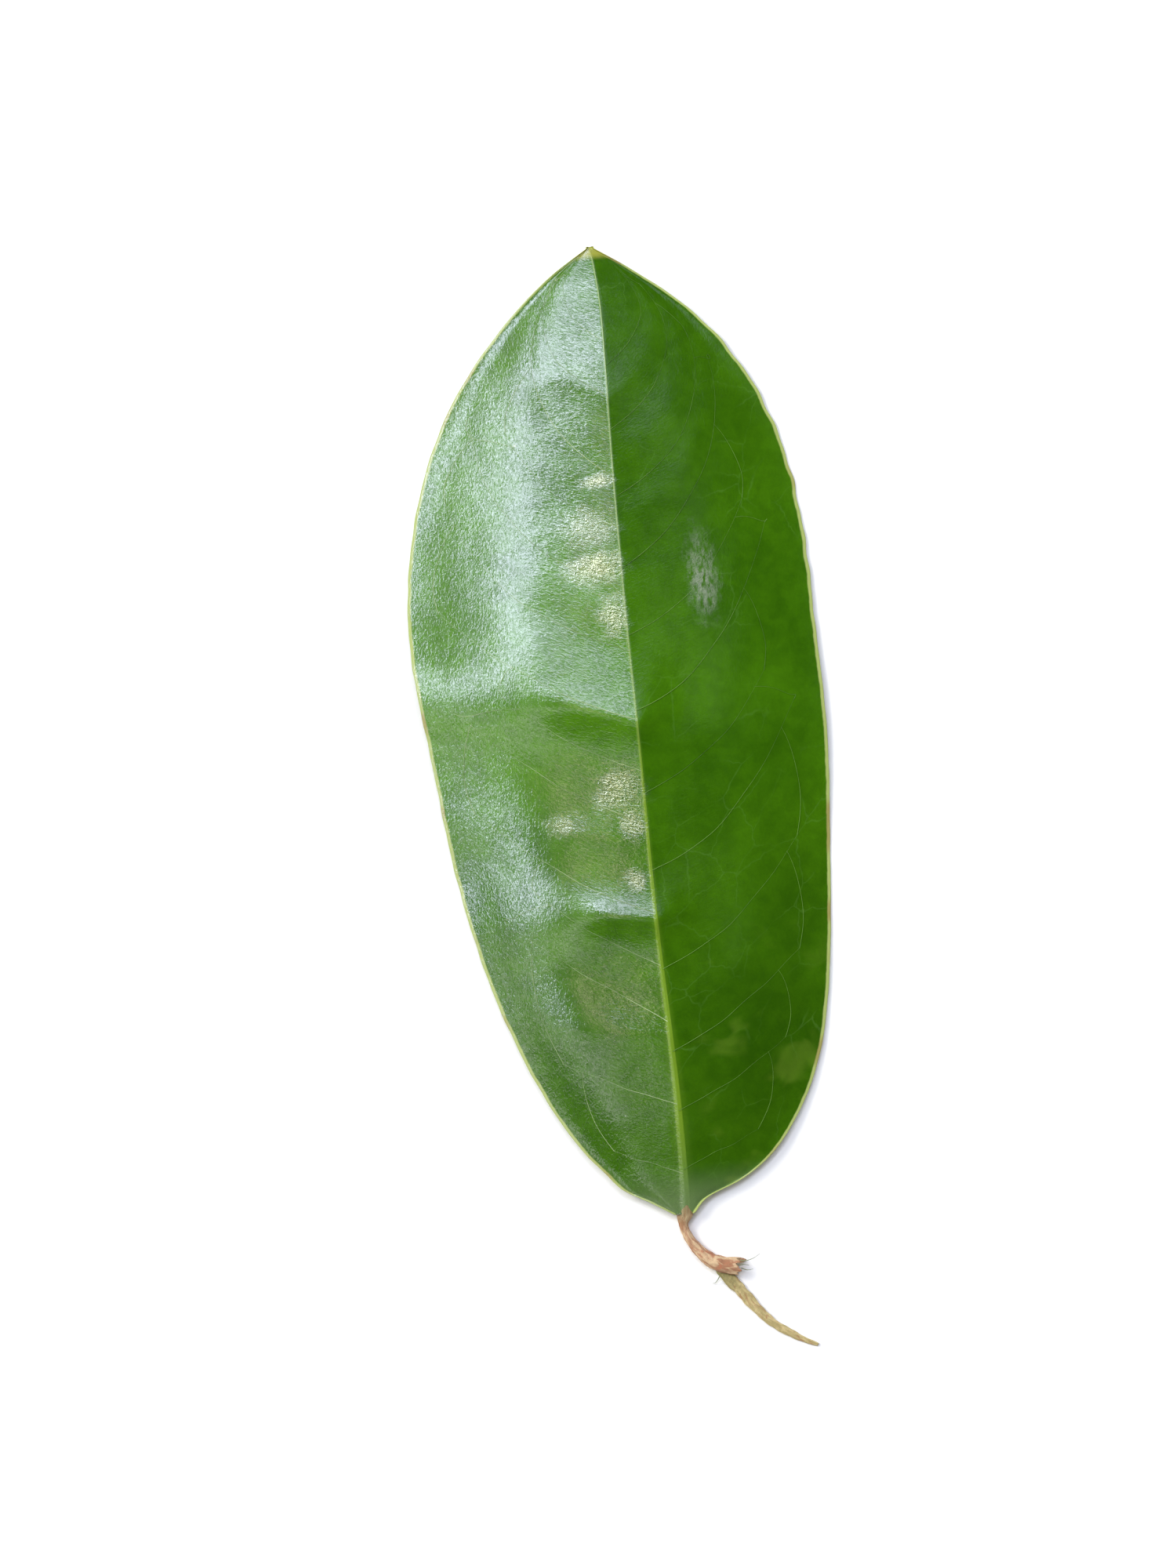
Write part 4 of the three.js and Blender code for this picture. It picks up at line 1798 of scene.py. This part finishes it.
@dataclass
class Stalk:
    """The short curved stalk, from inside the midrib to its torn end."""

    place: LeafPlace
    stations: Table = (
        # x, y, z, width and thickness
        (0.35, 4, 1.5, 1.0, 0.9),
        (0.2, 1, 1.25, 1.5, 1.1),
        (0.1, 0.1, 1.15, 2.3, 1.1),
        (-0.2, -1.5, 0.9, 1.25, 1.15),
        (0.5, -3.6, 0.8, 1.3, 1.3),
        (2.1, -5.8, 0.85, 1.75, 1.6),
        (4.1, -7.15, 1.0, 2.15, 1.95),
        (6.5, -7.7, 1.05, 2.3, 2.0),
    )
    sections: int = 150
    sides: int = 36
    # The bark is smooth at the root and full rough from rough_between's second distance on.
    rough_between: tuple[float, float] = (4.0, 6.5)
    least_rough: float = 0.15
    wrinkles: int = 5
    wrinkle_slant: float = 2.6
    wrinkle_height: float = 0.035
    # The torn end: its rings move out by ragged teeth, and it is hollowed by rings that
    # shrink and sink, as shares of the end ring's size and of torn_depth.
    torn_rings: int = 14
    torn_spread: float = 1.3
    longest_tooth: float = 0.55
    longest_tooth_at: float = 2.5
    torn_depth: float = 0.9
    hollow: Table = ((0.82, 0.12), (0.55, 0.55), (0.25, 0.85))

    def section(self, along: np.ndarray, angle: np.ndarray) -> tuple[np.ndarray, np.ndarray]:
        """A round section roughened by slanting wrinkles and small lumps.

        Args:
            along: Distances along the stalk.
            angle: Angles round it.

        Returns:
            The sideways and upward shares of the half width and half thickness.
        """
        start, full = self.rough_between
        lumps = Ripple(seed=21, shortest=0.7, longest=2.2, height=0.035)
        slant = np.sin(self.wrinkles * angle + self.wrinkle_slant * along + np.sin(2 * along))
        lumpy = lumps.at(np.cos(angle) * 2, along + np.sin(angle))
        rough = np.clip((along - start) / (full - start), self.least_rough, 1)
        size = 1 + rough * (self.wrinkle_height * slant + lumpy)
        return -np.cos(angle) * size, np.sin(angle) * size

    def tear(self, points: np.ndarray) -> np.ndarray:
        """Pulls the last rings out into ragged teeth, and hollows the end.

        Args:
            points: The stalk's rings.

        Returns:
            The rings with those of the hollow after them.
        """
        angle = ring_angles(self.sides)
        teeth = Ripple(seed=8, shortest=0.5, longest=1.6, height=0.3)
        ragged = teeth.at(np.cos(angle) * self.torn_spread, np.sin(angle) * self.torn_spread)
        longest = np.clip(-np.cos(angle - self.longest_tooth_at), 0, 1) ** 3
        ragged += self.longest_tooth * longest
        ahead = points[-1].mean(axis=0) - points[-2].mean(axis=0)
        ahead /= np.linalg.norm(ahead)
        pull = np.linspace(0, 1, self.torn_rings) ** 1.5
        points[-self.torn_rings :] += (pull[:, None] * ragged)[..., None] * ahead
        middle = points[-1].mean(axis=0)
        rings = [
            middle + (points[-1] - middle) * shrink - ahead * sink * self.torn_depth
            for shrink, sink in self.hollow
        ]
        return np.concatenate([points, rings])

    def make(self, skin: bpy.types.Material) -> bpy.types.Object:
        """Builds the stalk, with a ragged, hollowed end where it tore off the twig.

        Args:
            skin: Its material.

        Returns:
            The finished piece.
        """
        points, straight, along = sweep_rod(
            self.stations, self.sections, self.sides, self.section
        )
        points = self.tear(points)
        extra = len(self.hollow)
        straight = np.concatenate([straight, np.repeat(straight[-1:], extra, axis=0)])
        along = np.concatenate([along, np.repeat(along[-1:], extra, axis=0)])
        made = close_rod("stalk", self.place, points, straight, along)
        made.data.materials.append(skin)
        finish_piece(made)
        return made


@dataclass
class BarkStrip:
    """The strip of twig bark that tore away with the stalk, tapering to a thread."""

    place: LeafPlace
    stations: Table = (
        # x, y, z, width and thickness
        (3.9, -7.2, 0.6, 1.6, 1.1),
        (5.1, -9.2, 0.5, 1.8, 0.95),
        (6.5, -10.9, 0.4, 1.6, 0.8),
        (8.1, -13.1, 0.35, 1.4, 0.7),
        (9.7, -15.1, 0.3, 1.25, 0.6),
        (11.5, -16.6, 0.28, 1.1, 0.55),
        (13.8, -18.1, 0.25, 0.9, 0.5),
        (16.2, -19.3, 0.22, 0.4, 0.4),
    )
    sections: int = 220
    sides: int = 28
    furrow_depth: float = 0.38
    furrow_reach: float = 0.45

    def section(self, along: np.ndarray, angle: np.ndarray) -> tuple[np.ndarray, np.ndarray]:
        """A flat oval with a furrow along its upper side and uneven edges.

        Args:
            along: Distances along the strip.
            angle: Angles round it.

        Returns:
            The sideways and upward shares of the half width and half thickness.
        """
        edges = Ripple(seed=33, shortest=1.0, longest=4.0, height=0.07)
        across = -np.cos(angle) * (1 + edges.at(np.sign(np.cos(angle)) * 3, along))
        lumps = Ripple(seed=34, shortest=0.4, longest=1.5, height=0.07)
        furrow = self.furrow_depth * np.exp(-((across / self.furrow_reach) ** 2))
        furrow *= np.sin(angle) > 0
        up = np.sin(angle) * (1 + lumps.at(across, along)) - furrow * np.sin(angle)
        return across, up

    def make(self, skin: bpy.types.Material) -> bpy.types.Object:
        """Builds the strip.

        Args:
            skin: Its material.

        Returns:
            The finished piece.
        """
        rod = sweep_rod(self.stations, self.sections, self.sides, self.section)
        made = close_rod("bark_strip", self.place, *rod)
        made.data.materials.append(skin)
        finish_piece(made)
        return made


@dataclass
class TornFibres:
    """The loose fibres at the stalk's torn end and at the root of the strip."""

    place: LeafPlace
    tree: RibTree
    fibres: tuple[Table, ...] = (
        # x, y, z along each fibre
        ((6.6, -6.9, 1.3), (7.6, -7.0, 1.5), (8.6, -6.8, 1.4), (9.6, -6.3, 1.1)),
        ((6.9, -8.0, 1.0), (7.7, -8.3, 1.2), (8.5, -8.3, 0.9)),
        ((3.9, -8.9, 0.9), (3.4, -9.6, 0.6), (2.9, -9.8, 0.3)),
        ((6.5, -7.6, 1.2), (7.3, -7.5, 1.4), (8.0, -7.7, 1.2)),
    )
    points: int = 30
    girth: float = 0.09
    thins_by: float = 0.7
    flatness: float = 0.8
    corners: int = 6

    def make(self, skin: bpy.types.Material) -> bpy.types.Object:
        """Builds the fibres.

        Args:
            skin: Their material.

        Returns:
            The finished piece.
        """
        lines = []
        for fibre in self.fibres:
            table = SmoothTable([(k, *point) for k, point in enumerate(fibre)])
            run = np.linspace(0, 1, self.points)
            points = table.at(run * (len(fibre) - 1))
            girth = self.girth * MM * (1 - self.thins_by * run)
            lines.append((self.place.to_row(points), girth))
        inputs = {"Flatness": self.flatness, "Sides": self.corners, "Finish": skin}
        made = self.tree.sweep("torn_fibres", lines, inputs)
        finish_piece(made)
        return made


# ---------------------------------------------------------------------------
# Studio
# ---------------------------------------------------------------------------


@dataclass(frozen=True)
class Softbox:
    """A rectangular lamp that hangs level over the leaf and shines straight down.

    aside and ahead say where its middle is, and width and length how large it is, for each
    metre that it hangs above the leaf. radiance is its brightness beside a white surface's.
    """

    name: str
    aside: float
    ahead: float
    width: float
    length: float
    spin: float
    radiance: float
    colour: Colour
    hangs: float = 1.6

    def make(self, target: Vector) -> None:
        """Hangs the lamp over the target.

        Args:
            target: The middle of the leaf, in metres.
        """
        data = bpy.data.lights.new(self.name, "AREA")
        data.shape = "RECTANGLE"
        data.size, data.size_y = self.width * self.hangs, self.length * self.hangs
        data.energy = self.radiance * math.pi * data.size * data.size_y
        data.color = self.colour
        lamp = bpy.data.objects.new(self.name, data)
        lamp.location = target + Vector((self.aside, self.ahead, 1.0)) * self.hangs
        lamp.rotation_euler.z = math.radians(self.spin)
        bpy.context.scene.collection.objects.link(lamp)


@dataclass(frozen=True)
class SkyGlow:
    """A pale patch of sky with soft edges.

    aside and ahead say where its middle is and width and length how large it is, for each
    metre of height above the leaf. softness is the share of its size over which it fades.
    """

    aside: float
    ahead: float
    width: float
    length: float
    softness: float
    radiance: float


@dataclass
class Studio:
    """The pale floor that curves up into a backdrop, the lamps and the camera."""

    place: LeafPlace
    leaf_middle: tuple[float, float, float] = (0.0, 65.0, 3.0)
    floor_colour: Colour = (0.95, 0.945, 0.9)
    floor_roughness: float = 0.9
    floor_gloss: float = 0.1
    floor_hub: float = 0.15
    floor_flat: float = 1.9
    floor_rim: float = 0.5
    floor_height: float = 1.3
    floor_rings: int = 12
    rim_rings: int = 10
    floor_turns: int = 72
    sky_strength: float = 0.04
    sky_colour: Colour = (0.95, 0.98, 1.0)
    sun_strength: float = 2.0
    sun_direction: tuple[float, float, float] = (-1.0, 0.8, 1.0)
    sun_softness: float = 20.0
    sun_colour: Colour = (1.0, 0.98, 0.9)
    window_colour: Colour = (0.75, 0.79, 1.0)
    warm_colour: Colour = (1.0, 0.86, 0.62)
    glow_colour: Colour = (1.0, 0.98, 0.95)
    lowest_glow: float = 0.05
    glows: tuple[SkyGlow, ...] = (
        # aside, ahead, width, length, softness, radiance
        SkyGlow(-0.8, 0.55, 1.0, 1.3, 0.3, 0.35),
        SkyGlow(-0.7, -0.37, 1.3, 0.18, 0.5, 1.5),
        SkyGlow(0.38, 0.1, 0.14, 0.18, 0.9, 1.2),
    )
    lens: float = 85.0
    sensor: float = 36.0
    frame_height: float = 209.0
    aim: tuple[float, float, float] = (-7.2, 58.46, 3.0)
    lean: float = 5.58

    def make(self) -> None:
        """Builds the whole studio."""
        target = Vector(self.place.to_row(np.array(self.leaf_middle)))
        self.make_floor(target)
        self.make_sky()
        self.make_sun()
        window, warm = self.window_colour, self.warm_colour
        lamps = (
            # name, aside, ahead, width, length, spin, radiance, colour
            Softbox("long_window", -0.5, 0.215, 0.2, 1.06, -45, 7.2, window),
            Softbox("high_window", -0.02, 0.62, 0.84, 0.54, 0, 2.7, window),
            Softbox("fold_window", 0.12, 0.51, 0.56, 0.36, 0, 6.6, window),
            Softbox("warm_window", -0.12, 0.0, 0.12, 0.36, 0, 2.0, warm),
        )
        for lamp in lamps:
            lamp.make(target)
        self.make_camera()

    def make_floor(self, target: Vector) -> None:
        """A round floor whose rim curves up all round, so that every side has a backdrop.

        Args:
            target: The middle of the leaf, in metres.
        """
        flat, rim, turns = self.floor_flat, self.floor_rim, self.floor_turns
        bend = np.linspace(0, math.pi / 2, self.rim_rings)[1:]
        radii = [
            *np.linspace(self.floor_hub, flat, self.floor_rings),
            *(flat + rim * np.sin(bend)),
            flat + rim,
        ]
        heights = [*[0.0] * self.floor_rings, *(rim * (1 - np.cos(bend))), self.floor_height]
        angle = np.arange(turns) / turns * 2 * math.pi
        rings = [
            np.stack([r * np.cos(angle), r * np.sin(angle), np.full(turns, h)], axis=-1)
            for r, h in zip(radii, heights)
        ]
        points = np.concatenate([*rings, np.zeros((1, 3))])
        points += np.array([target.x, target.y, self.place.floor_z])
        faces = ring_faces(len(rings), turns)[:, ::-1].tolist()
        faces += cap_faces(np.arange(turns)[::-1], len(points) - 1, at_end=False)
        floor = new_mesh("studio_floor", points, faces)
        material, _, shader = new_material("pale_floor")
        shader.inputs["Base Color"].default_value = (*self.floor_colour, 1.0)
        shader.inputs["Roughness"].default_value = self.floor_roughness
        shader.inputs["Specular IOR Level"].default_value = self.floor_gloss
        floor.data.materials.append(material)

    def make_sky(self) -> None:
        """Faint even light from all round, with the soft glows."""
        world = bpy.data.worlds.new("sky")
        world.use_nodes = True
        desk = NodeDesk(world.node_tree)
        direction = desk.add("ShaderNodeTexCoord").outputs["Generated"]
        parts = desk.fed("ShaderNodeSeparateXYZ", {0: direction}).outputs
        height = desk.calc("MAXIMUM", parts["Z"], self.lowest_glow)
        ceiling = desk.vector(
            desk.calc("DIVIDE", parts["X"], height), desk.calc("DIVIDE", parts["Y"], height)
        )
        light: Value = 0.0
        for glow in self.glows:
            light = desk.total(light, self.glow_light(desk, ceiling, glow))
        sky = tuple(part * self.sky_strength for part in self.sky_colour)
        values = {0: desk.tint(self.glow_colour, light), 1: sky}
        both = desk.fed("ShaderNodeVectorMath", values, operation="ADD")
        desk.feed(world.node_tree.nodes["Background"].inputs["Color"], both.outputs[0])
        bpy.context.scene.world = world

    def glow_light(self, desk: NodeDesk, ceiling: Value, glow: SkyGlow) -> bpy.types.NodeSocket:
        """A glow's brightness in each direction.

        Args:
            desk: Where the nodes go.
            ceiling: Where the direction meets a level ceiling one metre up.
            glow: The glow.

        Returns:
            The brightness.
        """
        values = {
            "Vector": ceiling,
            "Location": (glow.aside, glow.ahead, 0.0),
            "Scale": (glow.width / 2, glow.length / 2, 1.0),
        }
        local = desk.fed("ShaderNodeMapping", values, vector_type="TEXTURE")
        parts = desk.fed("ShaderNodeSeparateXYZ", {0: local.outputs[0]}).outputs
        light: Value = glow.radiance
        for axis in ("X", "Y"):
            away = desk.calc("ABSOLUTE", parts[axis])
            seen = desk.step(away, 1 + glow.softness, 1 - glow.softness)
            light = desk.product(seen, light)
        return light

    def make_sun(self) -> None:
        """A soft, even key light from the upper left."""
        data = bpy.data.lights.new("key", "SUN")
        data.energy, data.angle = self.sun_strength, math.radians(self.sun_softness)
        data.color = self.sun_colour
        key = bpy.data.objects.new("key", data)
        key.rotation_mode = "QUATERNION"
        key.rotation_quaternion = Vector(self.sun_direction).to_track_quat("Z", "Y")
        key.visible_glossy = False
        bpy.context.scene.collection.objects.link(key)

    def make_camera(self) -> None:
        """A camera that looks straight down, leaning so that the tip points up and left."""
        data = bpy.data.cameras.new("camera")
        data.lens, data.sensor_width = self.lens, self.sensor
        distance = self.frame_height * MM * self.lens / self.sensor
        camera = bpy.data.objects.new("camera", data)
        aim = self.place.to_row(np.array(self.aim))
        spot = Matrix.Translation((aim[0], aim[1], aim[2] + distance))
        camera.matrix_world = spot @ Matrix.Rotation(-math.radians(self.lean), 4, "Z")
        bpy.context.scene.collection.objects.link(camera)
        bpy.context.scene.camera = camera


# ---------------------------------------------------------------------------
# Everything in order
# ---------------------------------------------------------------------------


def main() -> None:
    """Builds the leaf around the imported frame, then the studio."""
    logging.basicConfig(level=logging.INFO, format="%(name)s: %(message)s")
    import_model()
    shape = BladeShape()
    place = LeafPlace.from_box(*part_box(CAD_NODE), shape)
    bpy.context.scene.view_settings.view_transform = "Standard"

    effects = SharedEffects()
    ribs = RibTree()
    skin = LeafSkin()
    blade = Blade(shape, place).make(skin.make(effects, shape))
    # Painted light: the left veins' pale colour is lighter than the right veins', as the left half
    # is lit more.
    lit_left_veins = VeinSkin(
        "vein_hairline_left",
        pale=(0.45, 0.57, 0.27),
        deep=skin.deep,
        light=skin.light,
        shows=(0.4, 1.0),
        roughness=0.3,
    )
    dim = VeinSkin(
        "vein_hairline_right",
        pale=(0.2, 0.38, 0.06),
        deep=skin.deep,
        light=skin.light,
        shows=(0.2, 0.8),
        roughness=0.4,
    )
    stout = VeinSkin(
        "vein_rib_below",
        pale=skin.below_vein,
        deep=skin.below_deep,
        light=skin.below_light,
        shows=(0.75, 1.0),
        roughness=0.6,
    )
    SideVeins(
        shape, place, ribs, "side_veins_left", Face.ABOVE, (Side.LEFT,), girth=0.11, flatness=0.45
    ).make(blade, lit_left_veins.make(effects))
    SideVeins(
        shape, place, ribs, "side_veins_right", Face.ABOVE, (Side.RIGHT,), girth=0.13, flatness=0.3
    ).make(blade, dim.make(effects))
    SideVeins(
        shape, place, ribs, "side_veins_below", Face.BELOW, tuple(Side), girth=0.36, flatness=0.8
    ).make(blade, stout.make(effects))

    bark = BarkSkin(
        "stalk_bark",
        ground=(0.36, 0.17, 0.085),
        streak=(0.62, 0.44, 0.25),
        fleck=(0.42, 0.15, 0.07),
        green=(0.19, 0.17, 0.06),
        green_until=7.5,
        dark_speck=(0.1, 0.06, 0.02),
        relief=0.16,
    )
    Stalk(place).make(bark.make(effects))
    torn = BarkSkin(
        "torn_bark",
        ground=(0.40, 0.32, 0.13),
        streak=(0.58, 0.47, 0.22),
        fleck=(0.36, 0.2, 0.08),
        green=(0.22, 0.2, 0.07),
        green_until=5.0,
        dark_speck=(0.05, 0.045, 0.01),
        relief=0.1,
    )
    torn_skin = torn.make(effects)
    BarkStrip(place).make(torn_skin)
    fibre = VeinSkin(
        "fibre",
        pale=(0.22, 0.26, 0.13),
        deep=(0.12, 0.14, 0.06),
        light=(0.2, 0.24, 0.1),
        shows=(0.4, 1.0),
        roughness=0.6,
    )
    TornFibres(place, ribs).make(fibre.make(effects))

    Studio(place).make()


if __name__ == "__main__":
    main()
